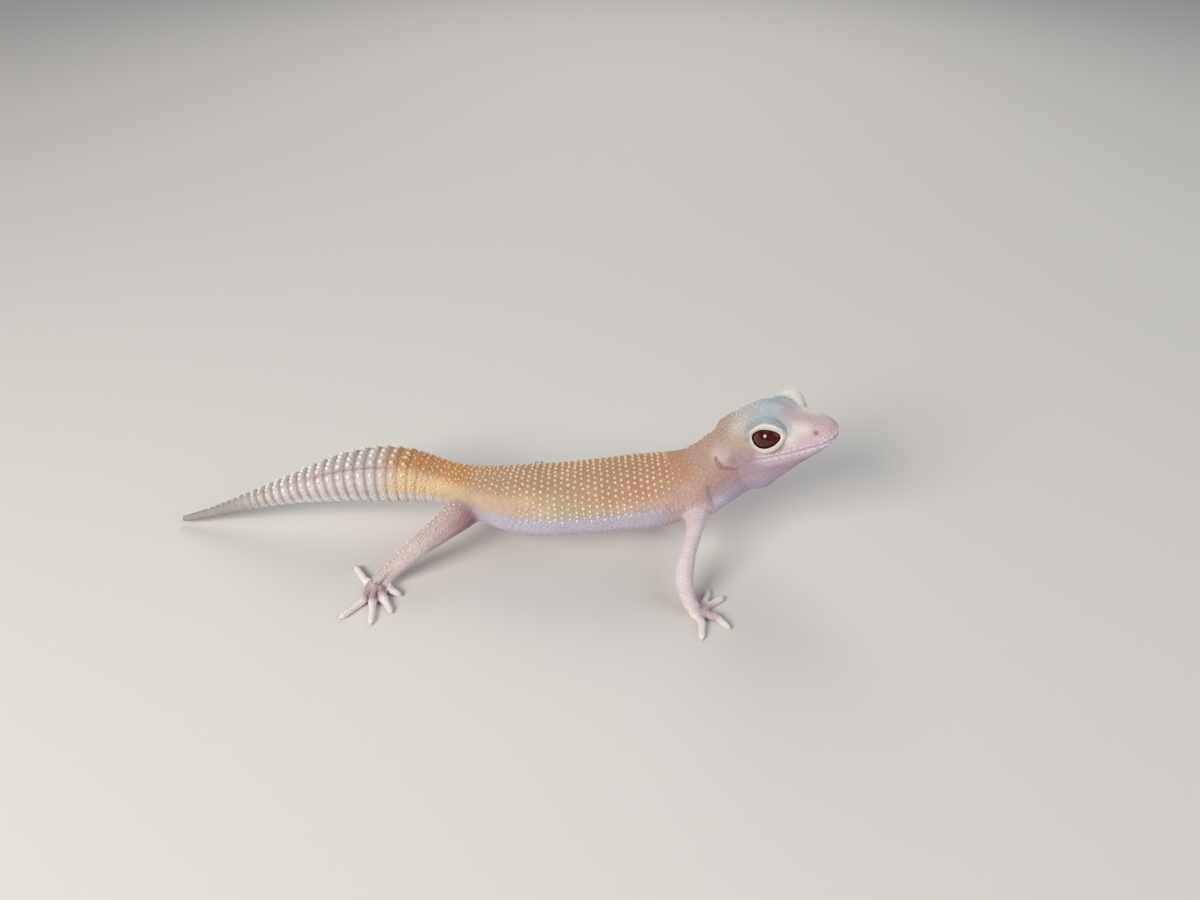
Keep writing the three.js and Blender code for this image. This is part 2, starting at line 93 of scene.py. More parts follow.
def edgesOf(mesh):
    flat = np.empty(len(mesh.edges) * 2, np.int32)
    mesh.edges.foreach_get("vertices", flat)
    return flat.reshape(-1, 2)


def hill(distance, width):
    return np.exp(-((distance / width) ** 2))


def ease(value, start, end):
    t = np.clip((value - start) / (end - start), 0, 1)
    return t * t * (3 - 2 * t)


def unit(vectors):
    return vectors / np.maximum(np.linalg.norm(vectors, axis=-1, keepdims=True), 1e-12)


def lineDistance(points, start, end):
    start, end = np.array(start, float), np.array(end, float)
    run = end - start
    share = np.clip((points - start) @ run / (run @ run), 0, 1)
    return np.linalg.norm(points - start - share[:, None] * run, axis=1), share


def linear(hexCode):
    parts = [int(hexCode[i:i + 2], 16) / 255 for i in (1, 3, 5)]
    return np.array([c / 12.92 if c <= 0.04045 else ((c + 0.055) / 1.055) ** 2.4 for c in parts])


def addNode(tree, kind, values={}, **settings):
    node = tree.nodes.new(kind)
    for key, value in settings.items():
        setattr(node, key, value)
    for key, value in values.items():
        node.inputs[key].default_value = value
    return node


# Each wire runs from a node's output to another node's input
def wire(tree, *wires):
    for start, output, end, socket in wires:
        tree.links.new(start.outputs[output], end.inputs[socket])


# Where things are, worked out from the frame

fleshNodes = [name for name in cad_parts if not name.startswith("eye_")]
bodyNodes = ["tail_tip", "tail_middle", "tail_base", "trunk_rear", "trunk_front", "neck"]
limbNodes = {
    "foreRight": ("upper_arm_right", "forearm_right", "hand_right"),
    "foreLeft": ("upper_arm_left", "forearm_left", "hand_left"),
    "hindRight": ("thigh_right", "shank_right", "foot_right"),
    "hindLeft": ("thigh_left", "shank_left", "foot_left"),
}


def nodePoints(*names):
    return np.concatenate([coordsOf(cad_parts[name].data) for name in names])


# The head's own axes: x forward from the ears, y left, z up, in millimetres
headPose = {"yaw": -33.5, "pitch": 24.5, "roll": 5.5, "eye": (9.25, 4.2, 2.1), "gaze": (0.12, 1.0, 0.33)}
headTurn = np.array((Matrix.Rotation(math.radians(headPose["yaw"]), 3, "Z")
                     @ Matrix.Rotation(-math.radians(headPose["pitch"]), 3, "Y")
                     @ Matrix.Rotation(math.radians(headPose["roll"]), 3, "X")))
eyeBoxes = [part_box("eye_right"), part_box("eye_left")]
eyeMiddle = np.array(sum((low + high for low, high in eyeBoxes), Vector())) / 4
headOrigin = eyeMiddle - headTurn @ (np.array([headPose["eye"][0], 0, headPose["eye"][2]]) * mm)


def toHead(points):
    return (points - headOrigin) @ headTurn / mm


def fromHead(points):
    return np.asarray(points, float) * mm @ headTurn.T + headOrigin


# The middle of an eye in the head's axes; side is -1 for the right eye and 1 for the left one
def eyePlace(side):
    x, y, z = headPose["eye"]
    return np.array([x, side * y, z])


spineShape = {
    "step": 3.0 * mm,
    "half": 2.4 * mm,
    "points": 220,
    "throughHead": ((2.0, 0, -2.4), (9.0, 0, -1.6), (20.0, 0, -0.4)),  # in the head's axes
}


# The middle line of the body from the tail's tip to the nape, then on through the head
def spineLine():
    step, half = spineShape["step"], spineShape["half"]
    points = nodePoints(*bodyNodes[:5])
    low, high = points[:, 0].min(), points[:, 0].max()
    line = []
    for x in np.arange(low + half / 2, high - half, step):
        near = points[np.abs(points[:, 0] - x) < half]
        line.append([x, *((near[:, 1:].min(0) + near[:, 1:].max(0)) / 2)])
    line.append(nodePoints("neck").mean(0))
    line = np.array(line + [fromHead(place) for place in spineShape["throughHead"]])
    for _ in range(3):
        line[1:-1] = (line[:-2] + 2 * line[1:-1] + line[2:]) / 4
    length = np.r_[0, np.cumsum(np.linalg.norm(np.diff(line, axis=0), axis=1))]
    even = np.linspace(0, length[-1], spineShape["points"])
    return np.stack([np.interp(even, length, line[:, k]) for k in range(3)], 1), even


spine, spineAt = spineLine()
spineAlong = unit(np.gradient(spine, axis=0))
spineLeft = unit(np.cross([0, 0, 1], spineAlong))
spineOver = np.cross(spineAlong, spineLeft)


# How far along the middle line each point lies, its turn from the back and its distance from the line
def bodyPlace(points, batch=20000):
    nearest = np.empty(len(points), int)
    for start in range(0, len(points), batch):
        some = points[start:start + batch]
        nearest[start:start + batch] = ((some[:, None] - spine[None]) ** 2).sum(2).argmin(1)
    gap = points - spine[nearest]
    ahead = (gap * spineAlong[nearest]).sum(1)
    side = (gap * spineLeft[nearest]).sum(1)
    over = (gap * spineOver[nearest]).sum(1)
    return spineAt[nearest] + ahead, np.arctan2(side, over), np.hypot(side, over)


report(f"spine {spineAt[-1] / mm:.1f} mm long, head at {np.round(headOrigin / mm, 2)}")


# One skin over all the nodes of flesh

skinSizes = {
    "grow": 0.2 * mm,  # closes the gaps between the solids
    "voxel": 0.17 * mm,
    "faces": 186000,
}


def joinAll(pieces, label):
    pick(*pieces)
    bpy.ops.object.join()
    piece = bpy.context.view_layer.objects.active
    piece.name = label
    piece.data.materials.clear()
    bpy.ops.object.mode_set(mode="EDIT")
    bpy.ops.mesh.select_all(action="SELECT")
    bpy.ops.mesh.remove_doubles(threshold=1e-6)
    bpy.ops.object.mode_set(mode="OBJECT")
    return piece


def copiesOf(names):
    copies = []
    for name in names:
        one = bpy.data.objects.new(f"{name}_copy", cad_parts[name].data.copy())
        bpy.context.scene.collection.objects.link(one)
        copies.append(one)
    return copies


# Finds the nearest place on the solids, and which node it is on
def nodeFinder():
    verts, faces, owner = [], [], []
    for k, name in enumerate(fleshNodes):
        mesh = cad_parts[name].data
        start = len(verts)
        verts += [tuple(v) for v in coordsOf(mesh)]
        mesh.calc_loop_triangles()
        faces += [tuple(start + i for i in t.vertices) for t in mesh.loop_triangles]
        owner += [k] * len(mesh.loop_triangles)
    return BVHTree.FromPolygons(verts, faces), owner


finder, faceOwner = nodeFinder()
parts = {
    "head": ["head", "lower_jaw", "ear_right", "ear_left"],
    "lids": ["eyelids_right", "eyelids_left"],
    "neck": ["neck"],
    "trunk": ["trunk_front", "trunk_rear"],
    "tail": ["tail_base", "tail_middle", "tail_tip"],
    "foreleg": [n for n in fleshNodes if n.startswith(("upper_arm", "forearm"))],
    "hindleg": [n for n in fleshNodes if n.startswith(("thigh", "shank"))],
    "hand": [n for n in fleshNodes if n.startswith("hand")],
    "foot": [n for n in fleshNodes if n.startswith("foot")],
}
partNames = list(parts)
partOfNode = {node: k for k, nodes in enumerate(parts.values()) for node in nodes}


def partsAt(points):
    found = np.empty(len(points), int)
    for i, point in enumerate(points):
        found[i] = partOfNode[fleshNodes[faceOwner[finder.find_nearest(Vector(point))[2]]]]
    return found


def partMask(part, *names):
    return np.isin(part, [partNames.index(name) for name in names]).astype(float)


# How far each point stands out from the solids, negative inside them
def gapsTo(points):
    gaps = np.empty(len(points))
    for i, point in enumerate(points):
        place, normal, _, distance = finder.find_nearest(Vector(point))
        gaps[i] = math.copysign(distance, (Vector(point) - place).dot(normal))
    return gaps


# Averages values with those of the neighbouring points, round after round
def spread(edges, values, rounds):
    count = len(values)
    ends = np.concatenate([edges[:, 0], edges[:, 1]])
    others = np.concatenate([edges[:, 1], edges[:, 0]])
    degree = np.maximum(np.bincount(ends, minlength=count), 1)[:, None]
    for _ in range(rounds):
        values = np.stack([np.bincount(ends, values[others, k], minlength=count)
                           for k in range(values.shape[1])], 1) / degree
    return values


def weigh(piece, name, values, levels=20):
    group = piece.vertex_groups.new(name=name)
    steps = np.round(np.clip(values, 0, 1) * levels).astype(int)
    for level in range(1, levels + 1):
        group.add(np.flatnonzero(steps == level).tolist(), level / levels, "REPLACE")


def meshObject(name, points, faces):
    mesh = bpy.data.meshes.new(name)
    mesh.from_pydata([tuple(p) for p in points], [], faces)
    mesh.update()
    one = bpy.data.objects.new(name, mesh)
    bpy.context.scene.collection.objects.link(one)
    return one


# The lids round an eye: distances from its centre in millimetres, the opening in degrees from the gaze
lidShape = {
    "inside": 3.08,
    "edge": 3.58,
    "band": 3.92,    # the pale rim
    "groove": 3.7,   # round the rim
    "dome": 3.88,
    "halfLong": 60.0, "above": 34.0, "below": 31.0, "peak": 1.75,
    "visor": 1.1,    # how far the upper lid stands out toward the front
    "steps": 60,
}
lidRings = [0, 2, 4.5, 8, 12, 16, 19, 22, 25, 29, 35, 45, 60, 80, 100, 115]  # degrees beyond the opening


def gazeAxes(side):
    x, y, z = headPose["gaze"]
    out = unit(np.array([x, side * y, z]))
    over = unit(np.array([0.0, 0.0, 1.0]) - out[2] * out)
    return out, over, np.cross(over, out)


# How wide the lids open in each direction, in degrees from the gaze
def almond(across, upward):
    height = np.where(upward > 0, lidShape["above"], lidShape["below"])
    wide = (np.abs(across) / lidShape["halfLong"]) ** lidShape["peak"]
    tall = (np.abs(upward) / height) ** lidShape["peak"]
    return (wide + tall) ** (-1 / lidShape["peak"])


def lidHeight(side, beyond, across, upward):
    shape = lidShape
    height = np.interp(beyond, [0, 2.5, 7, 14, 19, 23, 32], [
        shape["edge"], shape["edge"] + 0.18, shape["band"], shape["band"], shape["groove"] + 0.08,
        shape["groove"], shape["dome"]])
    forward = np.maximum(1 - 2 * side * across, 0) / 3
    return height + shape["visor"] * np.maximum(upward, 0) * forward * (1 - ease(beyond, 20, 42))


def aroundEye(side, distance, spreadBy, angle):
    out, over, beside = gazeAxes(side)
    turn = np.radians(spreadBy)[:, None]
    around = np.cos(angle)[:, None] * beside + np.sin(angle)[:, None] * over
    return eyePlace(side) + np.reshape(distance, (-1, 1)) * (np.cos(turn) * out + np.sin(turn) * around)


def lidShell(side):
    steps = lidShape["steps"]
    angle = np.arange(steps) / steps * 2 * math.pi
    across, upward = np.cos(angle), np.sin(angle)
    opening = almond(across, upward)
    take = skinSizes["grow"] / mm  # the skin grows before it is remeshed
    rings = [aroundEye(side, lidHeight(side, beyond, across, upward) - take, opening + beyond, angle)
             for beyond in lidRings]
    rings += [aroundEye(side, np.full(steps, lidShape["inside"] + take), opening + beyond, angle)
              for beyond in lidRings[::-1]]
    eye, out = eyePlace(side), gazeAxes(side)[0]
    poles = [[eye - out * (lidShape["dome"] - take)], [eye - out * (lidShape["inside"] + take)]]
    points = np.concatenate(rings + poles)
    half, faces = len(lidRings), []
    for k in range(2 * half):
        if k == half - 1:
            continue
        after = (k + 1) % (2 * half)
        faces += [(k * steps + i, k * steps + (i + 1) % steps,
                   after * steps + (i + 1) % steps, after * steps + i) for i in range(steps)]
    for ring, pole, turn in ((half - 1, 2 * half * steps, 1), (half, 2 * half * steps + 1, -1)):
        for i in range(steps):
            faces.append((ring * steps + i, ring * steps + (i + 1) % steps, pole)[::turn])
    shell = meshObject(f"lid_shell_{side}", fromHead(points), faces)
    pick(shell)
    bpy.ops.object.mode_set(mode="EDIT")
    bpy.ops.mesh.select_all(action="SELECT")
    bpy.ops.mesh.normals_make_consistent(inside=False)
    bpy.ops.object.mode_set(mode="OBJECT")
    return shell


earShape = {
    "plug": (2.5, 0.95, 1.75),  # fills the solids' hollow, the slit is cut later
    "outset": {-1: 0.3, 1: 0.05},  # by side, the left one lies behind the turn of the neck
    "lean": 35.0,
    "swing": {-1: 0.0, 1: 20.0},
}


def earPlug(side):
    place = toHead(nodePoints("ear_left" if side > 0 else "ear_right")).mean(0)
    bpy.ops.mesh.primitive_uv_sphere_add(segments=24, ring_count=16, radius=1.0)
    plug = bpy.context.object
    points = coordsOf(plug.data) * np.array(earShape["plug"])
    turn = np.array(Matrix.Rotation(math.radians(earShape["swing"][side]), 3, "Z")
                    @ Matrix.Rotation(math.radians(earShape["lean"]), 3, "Y"))
    outward = np.array([0, side * earShape["outset"][side], 0])
    setCoords(plug.data, fromHead(points @ turn.T + place + outward))
    return plug


solidNodes = [name for name in fleshNodes if not name.startswith(("eyelids", "ear_"))]
skin = joinAll(copiesOf(solidNodes) + [lidShell(-1), lidShell(1), earPlug(-1), earPlug(1)], "gecko_skin")
applyModifier(skin, "DISPLACE", strength=skinSizes["grow"], mid_level=0.0)
applyModifier(skin, "REMESH", mode="VOXEL", voxel_size=skinSizes["voxel"])
report(f"remeshed to {len(skin.data.vertices)} points")


smoothing = {
    "borders": 8, "all": 3, "most": 26, "body": 80, "refill": 14,  # rounds
    "deepest": 0.5 * mm,
    "lidSlack": 0.02 * mm,
    "room": {"head": 0.07, "body": 0.13, "limb": 0.08, "feet": -0.04},  # left for the scales, in mm
}


# Smooths away the facets, widely on the body and slightly on toes and lids, then gives the volume back
def smoothSkin(piece):
    mesh = piece.data
    edges = edgesOf(mesh)
    part = partsAt(coordsOf(mesh))
    masks = spread(edges, np.stack([
        partMask(part, "hand", "foot"), partMask(part, "lids"), partMask(part, "head"),
        partMask(part, "trunk", "tail", "neck"),
        partMask(part, "foreleg", "hindleg")], 1), smoothing["borders"])
    feet, lids, head, body, limb = masks.T
    weigh(piece, "most", 1 - 1.1 * (feet + lids) - 0.6 * head)
    weigh(piece, "body", body * 1.5 - 0.5)
    applyModifier(piece, "SMOOTH", factor=1.0, iterations=smoothing["all"])
    applyModifier(piece, "SMOOTH", factor=1.0, iterations=smoothing["most"], vertex_group="most")
    applyModifier(piece, "SMOOTH", factor=1.0, iterations=smoothing["body"], vertex_group="body")
    points = coordsOf(mesh)
    gaps = np.clip(gapsTo(points), -smoothing["deepest"], smoothing["deepest"])
    wide = spread(edges, gaps[:, None], smoothing["refill"])[:, 0]
    taken = wide + (skinSizes["grow"] - smoothing["lidSlack"] - wide) * np.clip(lids * 1.4, 0, 1)
    room = smoothing["room"]
    depth = (room["head"] * head + room["body"] * body + room["limb"] * limb + room["feet"] * feet) * mm
    setCoords(mesh, points - normalsOf(mesh) * (taken + depth)[:, None])
    piece.vertex_groups.clear()


smoothSkin(skin)
report("smoothed and drawn in")

# The forms of the skin, pushed along its normals; lengths in millimetres

forms = {
    "mouth": {"corner": 5.9, "long": 17.5, "cornerZ": -1.25, "frontZ": -0.85, "dip": 0.2,
              "deep": 0.13, "wide": 0.19},
    "nostril": {"at": (17.9, 2.7, 1.24), "deep": 0.5, "wide": 0.34, "rim": 0.7},
    "ear": {"line": ((-1.0, 0.3), (0.3, -1.5), (2.1, -2.9)), "deep": 0.45, "wide": 0.22,
            "lip": ((-0.6, 0.8), (0.9, -0.8), (2.6, -2.2)), "leftShift": 0.7},
    "napeFolds": {"count": 3, "gap": 1.3, "drop": 0.5, "deep": 0.07, "wide": 0.3},
    "tailRings": {"tip": 1.3, "full": 2.15, "deep": 0.33, "groove": 0.18, "ends": 60.0},
    "tailFurrow": {"from": 28.0, "to": 50.0, "angle": 37.0, "deep": 0.34, "wide": 0.34},
    "limbFolds": {"middle": ((-0.9, 0.0, 0.9), 0.03), "ankle": ((-0.5, 0.4), 0.06)},  # places and depth
    "hindleg": -0.22,
    "toes": {"drawn": 0.9, "from": 1.5, "to": 6.5, "plump": 0.1},
}
mouthCorner = {"path": ((6.2, 7.3, -1.0), (4.9, 7.6, -2.0), (4.4, 7.6, -3.1)), "deep": 0.12, "wide": 0.28}
headRidges = [  # path in the head's axes, how far it rises or sinks, width
    (((20.6, 0.0, 0.9), (19.3, 0.0, 1.9)), -0.1, 0.25),  # between the nostrils
    (((12.9, 3.6, 3.3), (15.0, 3.0, 2.7), (17.0, 2.3, 2.2)), 0.16, 0.8),  # edge of the muzzle
    (((13.6, 5.0, 1.4), (16.0, 3.9, 0.9)), -0.16, 0.9),  # hollow in front of the eye
    (((8.2, 0.0, 6.1), (10.8, 0.0, 5.3)), 0.75, 1.7),  # crown
]
sideFolds = [  # middle of the group along the body, slope, count, gap
    (102.5, 0.55, 5, 1.15),
    (75.5, -0.6, 8, 1.15),
]
bellySwells = [(76, 5, 0.4), (100, 3.5, 0.35)]  # place along the body, width, height
ankleSwells = {  # width, height, which way it faces
    "hindRight": (3.1, 1.5, (-0.8, 0.1, 0.5)),
    "hindLeft": (3.1, 1.5, (-0.8, 0.1, 0.5)),
    "foreRight": (2.6, 0.6, (-0.6, -0.3, -0.2)),
    "foreLeft": (2.6, 0.6, (-0.6, 0.3, -0.2)),
}
# Under the neck, in millimetres from the frame's origin
chest = {"path": ((44.2, -3.2, 12.6), (44.2, -1.0, 12.4)), "wide": 1.9, "high": 0.5}
throat = {"path": ((50.0, 0.6, 15.2), (46.3, -1.6, 14.4), (43.8, -2.8, 12.8)), "wide": 2.4, "high": 0.6}
# In front of the shoulder, from its upper to its lower end, in millimetres from the head's origin
shoulderFold = {"path": ((-6.6, -10.3, -5.6), (-5.4, -10.3, -9.5)), "wide": 0.5, "deep": 0.35}


def mouthHeight(x):
    mouth = forms["mouth"]
    share = np.clip((x - mouth["corner"]) / mouth["long"], 0, 1)
    line = mouth["cornerZ"] + (mouth["frontZ"] - mouth["cornerZ"]) * share
    return line - mouth["dip"] * np.sin(math.pi * share)


def pathDistance(points, path):
    return np.min([lineDistance(points, a, b)[0] for a, b in zip(path, path[1:])], axis=0)


# Round the nearer eye: distance, degrees from the gaze, degrees beyond the opening, and how far up
def eyeAngles(q):
    side = np.where(q[:, 1] < 0, -1, 1)
    eye, out, over, beside = (np.empty_like(q) for _ in range(4))
    for s in (-1, 1):
        here = side == s
        eye[here] = eyePlace(s)
        out[here], over[here], beside[here] = gazeAxes(s)
    gap = q - eye
    far = np.linalg.norm(gap, axis=1)
    rise, run = (gap * over).sum(1), (gap * beside).sum(1)
    fromGaze = np.degrees(np.arccos(np.clip((gap * out).sum(1) / np.maximum(far, 1e-6), -1, 1)))
    flat = np.maximum(np.hypot(rise, run), 1e-6)
    return far, fromGaze, fromGaze - almond(run / flat, rise / flat), rise / flat


# The side of the head seen flat, where the ear is drawn
def earPlan(q):
    return np.stack([q[:, 0] + np.where(q[:, 1] > 0, forms["ear"]["leftShift"], 0.0), q[:, 2]], 1)


def sculptHead(q, headMask):
    push = np.zeros(len(q))
    x, y, z = q[:, 0], np.abs(q[:, 1]), q[:, 2]
    folded = np.stack([x, y, z], 1)
    mouth, nose, ear = forms["mouth"], forms["nostril"], forms["ear"]
    gap = z - mouthHeight(x)
    lips = (0.11 * hill(gap - 0.62, 0.42) + 0.08 * hill(gap + 0.52, 0.4)
            - mouth["deep"] * hill(gap, mouth["wide"]))
    push += ease(x, 5.2, 6.4) * lips
    push -= mouthCorner["deep"] * hill(pathDistance(folded, mouthCorner["path"]), mouthCorner["wide"])
    away = np.linalg.norm(folded - np.array(nose["at"]), axis=1)
    push += 0.12 * hill(away - nose["rim"], 0.3) - nose["deep"] * hill(away, nose["wide"])
    for path, rise, wide in headRidges:
        push += rise * hill(pathDistance(folded, path), wide)
    far, turn, beyond, upward = eyeAngles(q)
    near = ease(-far, -5.4, -4.6) * (turn > 20)
    push -= near * 0.2 * hill(turn - 84, 6) * ease(upward, 0.0, 0.5)
    for fold in (31, 38, 46):  # over the eye, in degrees beyond the opening
        push -= near * 0.07 * hill(beyond - fold, 2.2) * ease(upward, 0.1, 0.6)
    push -= near * 0.1 * hill(beyond - 33, 3) * ease(-upward, 0.0, 0.5)
    outer = ease(y, 5.0, 5.8)
    push += outer * 0.2 * hill(pathDistance(earPlan(q), ear["lip"]), 0.5)
    push -= outer * ear["deep"] * hill(pathDistance(earPlan(q), ear["line"]), ear["wide"])
    nape = forms["napeFolds"]
    for fold in range(nape["count"]):
        back, down = fold * nape["gap"], fold * nape["drop"]
        line = [(-2.4 - back, 3.0, 3.4 - down), (-2.8 - back, 0.0, 3.6 - down)]
        push -= nape["deep"] * hill(pathDistance(folded, line), nape["wide"])
    return push * headMask


# Counts the tail's rings from its tip, which grow longer toward the body
def ringPhase(along):
    rings = forms["tailRings"]
    steps = np.linspace(-4, 90, 600)
    long = rings["tip"] + (rings["full"] - rings["tip"]) * ease(steps, 0, 30)
    return np.interp(along, steps, np.cumsum(1 / long) * (steps[1] - steps[0]))


def ringShape(along):
    phase = ringPhase(along) % 1
    return hill(np.minimum(phase, 1 - phase), forms["tailRings"]["groove"])  # 1 in a groove


# 1 from one place to another, rising after the first and falling before the second
def between(value, start, end, rise, fall):
    return ease(value, start, start + rise) * (1 - ease(value, end - fall, end))


def sculptBody(along, angle, radius, tail, trunk):
    rings, furrow = forms["tailRings"], forms["tailFurrow"]
    strength = ease(along, 3, 24) * (1 - 0.75 * ease(along, 44, rings["ends"]))
    side = 1.15 - 0.3 * ease(np.abs(angle), 20, 60)
    push = -rings["deep"] * tail * strength * side * (ringShape(along) - 0.2)
    inFurrow = between(along, furrow["from"], furrow["to"], 5, 5)
    arc = np.radians(np.abs(angle) - furrow["angle"]) * radius
    edges = 0.1 * hill(np.abs(arc) - 1.1, 0.5)
    push -= tail * inFurrow * (furrow["deep"] * hill(arc, furrow["wide"]) - edges)
    for place, slope, count, gap in sideFolds:
        for k in range(count):
            line = along - (place + (k - count / 2) * gap) - slope * (np.abs(angle) - 78) * 0.1
            here = hill(np.abs(angle) - 80, 22) * hill(k - count / 2, count / 1.6)
            push -= trunk * 0.14 * hill(line, 0.26) * here
    edge = hill(np.radians(np.abs(angle) - 84) * radius, 0.5)  # where flank meets belly
    push -= trunk * 0.08 * edge * ease(along, 74, 80) * (1 - ease(along, 98, 103))
    swell = sum(high * hill(along - place, wide) for place, wide, high in bellySwells)
    return push + trunk * ease(np.abs(angle), 72, 98) * swell


# How far down a limb's line each point lies, and how far from it
def limbPlace(points, line):
    best = np.full(len(points), 1e9)
    along = np.zeros(len(points))
    start = 0.0
    for a, b in zip(line, line[1:]):
        distance, share = lineDistance(points, a, b)
        length = np.linalg.norm(b - a)
        closer = distance < best
        best[closer] = distance[closer]
        along[closer] = (start + share * length)[closer]
        start += length
    return along / mm, best / mm


# A limb's line from its root by knee or elbow and ankle to the palm
def limbLine(names):
    upper, lower, foot = (nodePoints(name) for name in names)

    def meeting(a, b):
        near = np.linalg.norm(b - a.mean(0), axis=1)
        return b[near <= np.quantile(near, 0.25)].mean(0)

    inward = np.abs(upper[:, 1] - spine[:, 1].mean())
    root = upper[inward.argsort()[:12]].mean(0)
    ankle = foot[foot[:, 2].argsort()[-14:]].mean(0)
    palm = (foot.min(0) + foot.max(0)) / 2
    return np.array([root, meeting(upper, lower), ankle, [palm[0], palm[1], ankle[2] * 0.6]])


limbs = {name: limbLine(nodes) for name, nodes in limbNodes.items()}


def limbOf(points):
    found = np.stack([limbPlace(points, line) for line in limbs.values()])
    nearest = found[:, 1].argmin(0)
    return nearest, found[nearest, 0, np.arange(len(points))]


def sculptLimbs(points, limbMask, footMask):
    push = np.zeros(len(points))
    for line in limbs.values():
        lengths = np.r_[0, np.cumsum(np.linalg.norm(np.diff(line, axis=0), axis=1))] / mm
        along, away = limbPlace(points, line)
        here = 1 - ease(away, 3.2, 4.4)
        for joint, (folds, deep) in zip(lengths[1:], forms["limbFolds"].values()):
            for fold in folds:
                push -= here * deep * hill(along - joint - fold, 0.22)
    return push * np.clip(limbMask + footMask, 0, 1)


# What the skin's points are part of and where they lie on the body
def surveySkin(mesh):
    points, edges = coordsOf(mesh), edgesOf(mesh)
    part = partsAt(points)
    masks = spread(edges, np.stack([partMask(part, name) for name in partNames], 1), 5)
    survey = {name: masks[:, k] for k, name in enumerate(partNames)}
    survey["along"], angle, radius = bodyPlace(points)
    survey["along"] = survey["along"] / mm
    survey["angle"], survey["radius"] = np.degrees(angle), radius / mm
    survey["head_mm"] = toHead(points)
    survey["points"] = points
    return survey


# Draws the toes in toward the ankle, and says how far from the ankle each point is
def drawToes(points):
    toes = forms["toes"]
    nearest = limbOf(points)[0]
    ankles = np.array([line[2][:2] for line in limbs.values()])[nearest]
    gap = points[:, :2] - ankles
    far = np.linalg.norm(gap, axis=1) / mm
    drawn = points.copy()
    drawn[:, :2] -= unit(gap) * (toes["drawn"] * mm * ease(far, toes["from"], toes["to"]))[:, None]
    return drawn, far


def sculptAnkles(points, normals):
    push = np.zeros(len(points))
    for name, line in limbs.items():
        wide, high, toward = ankleSwells[name]
        near = hill(np.linalg.norm(points - line[2], axis=1) / mm, wide)
        push += high * near * ease(normals @ unit(np.array(toward)), 0.0, 0.8)
    return push


# How near each point is to the fold of the shoulder
def nearShoulder(points, wide):
    fold = [headOrigin + np.array(end) * mm for end in shoulderFold["path"]]
    return hill(lineDistance(points, *fold)[0] / mm, wide)


def sculptSkin(piece):
    mesh = piece.data
    survey = surveySkin(mesh)
    points, normals = survey["points"], normalsOf(mesh)
    trunk = survey["trunk"] + survey["neck"]
    feet = survey["hand"] + survey["foot"]
    push = sculptHead(survey["head_mm"], np.clip(survey["head"] + survey["lids"] + survey["neck"], 0, 1))
    push += sculptBody(survey["along"], survey["angle"], survey["radius"], survey["tail"], trunk)
    push += sculptLimbs(points, survey["foreleg"] + survey["hindleg"], feet)
    push += forms["hindleg"] * survey["hindleg"]
    drawn, fromAnkle = drawToes(points)
    push += forms["toes"]["plump"] * feet * ease(fromAnkle, 1.6, 2.8) * ease(points[:, 2] / mm, 0.2, 0.6)
    push += (feet + survey["foreleg"] + survey["hindleg"]) * sculptAnkles(points, normals)
    push += chest["high"] * trunk * hill(pathDistance(points / mm, chest["path"]), chest["wide"])
    under = hill(pathDistance(points / mm, throat["path"]), throat["wide"])
    push += throat["high"] * (trunk + survey["head"]) * under
    push -= shoulderFold["deep"] * nearShoulder(points, shoulderFold["wide"])
    moved = points + (drawn - points) * np.clip(feet, 0, 1)[:, None] + normals * push[:, None] * mm
    lowest = np.minimum(points[:, 2], 0.1 * mm)
    moved[:, 2] = np.maximum(moved[:, 2], lowest)  # nothing sinks into the floor
    setCoords(mesh, moved)


sculptSkin(skin)
report("forms pushed in")


def thinSkin(piece):
    piece.data.calc_loop_triangles()
    applyModifier(piece, "DECIMATE", ratio=skinSizes["faces"] / len(piece.data.loop_triangles))
    pick(piece)
    bpy.ops.object.shade_smooth()
    piece.data.calc_loop_triangles()
    report(f"skin of {len(piece.data.loop_triangles)} triangles")


thinSkin(skin)
survey = surveySkin(skin.data)

# Colours of the hide, laid over each other from the body outward

# belly, neckBelow, throat and jaw are the underside's pale tones, partly darkened as painted shade under
# the body
hide = {
    "backRear": "#b99678", "backFront": "#bc8f71", "flankRear": "#bfa683", "flankFront": "#c19478",
    "lowRear": "#bbae90", "lowFront": "#ceae9c", "rearPink": "#d3b3a3", "belly": "#c9bfcc",
    "bellyEdge": "#beb5bf",
    "shoulder": "#cba9a0", "neckTop": "#bea28f", "neckSide": "#bb9890", "neckBelow": "#c4adbb",
    "crown": "#c2c2c4", "crownBlue": "#aebac2", "temple": "#d6cfc2", "behindEye": "#c2aa9a",
    "muzzle": "#cbb4b4", "cream": "#efe3d8", "snout": "#cf9fa8", "nostrilRim": "#e0bcc4",
    "nostrilShade": "#9c3a52",
    "lips": "#e6d6e2", "throat": "#bfa9bb", "jaw": "#b399a4", "cheekGrey": "#a89ca4",
    # fold is painted shade for the fold in front of the shoulder
    "earPale": "#d6c4bd", "earShade": "#a8707a", "fold": "#ab8c9c", "blueWhite": "#ccd6e4",
    "lidRim": "#f2ebdf", "lidSkin": "#b6bcc0", "creaseShade": "#8c8f95",
    "tailTop": "#c4b7b2", "tailCrest": "#d9cfca", "grooveShade": "#a89b99", "tailTip": "#a69e97",
    "tailBelow": "#e6e4ea", "orange": "#c98c50", "orangeSide": "#e6c796",
    "orangeBelow": "#e2d8d4", "pink": "#d98a94",
    "limb": "#bfa09b", "limbBack": "#cbbaad", "limbPale": "#e8d8dc", "pitShade": "#8a444c",
    "sole": "#ac8790", "toe": "#f6ebe7",
}
tone = {name: linear(code) for name, code in hide.items()}


def plain(name, like):
    return np.repeat(tone[name][None], len(like), 0)


# Lays colours over a base one after another, each by its own amount
def layered(base, *layers):
    for name, amount in layers:
        base = base + (tone[name] - base) * np.clip(amount, 0, 1)[:, None]
    return base


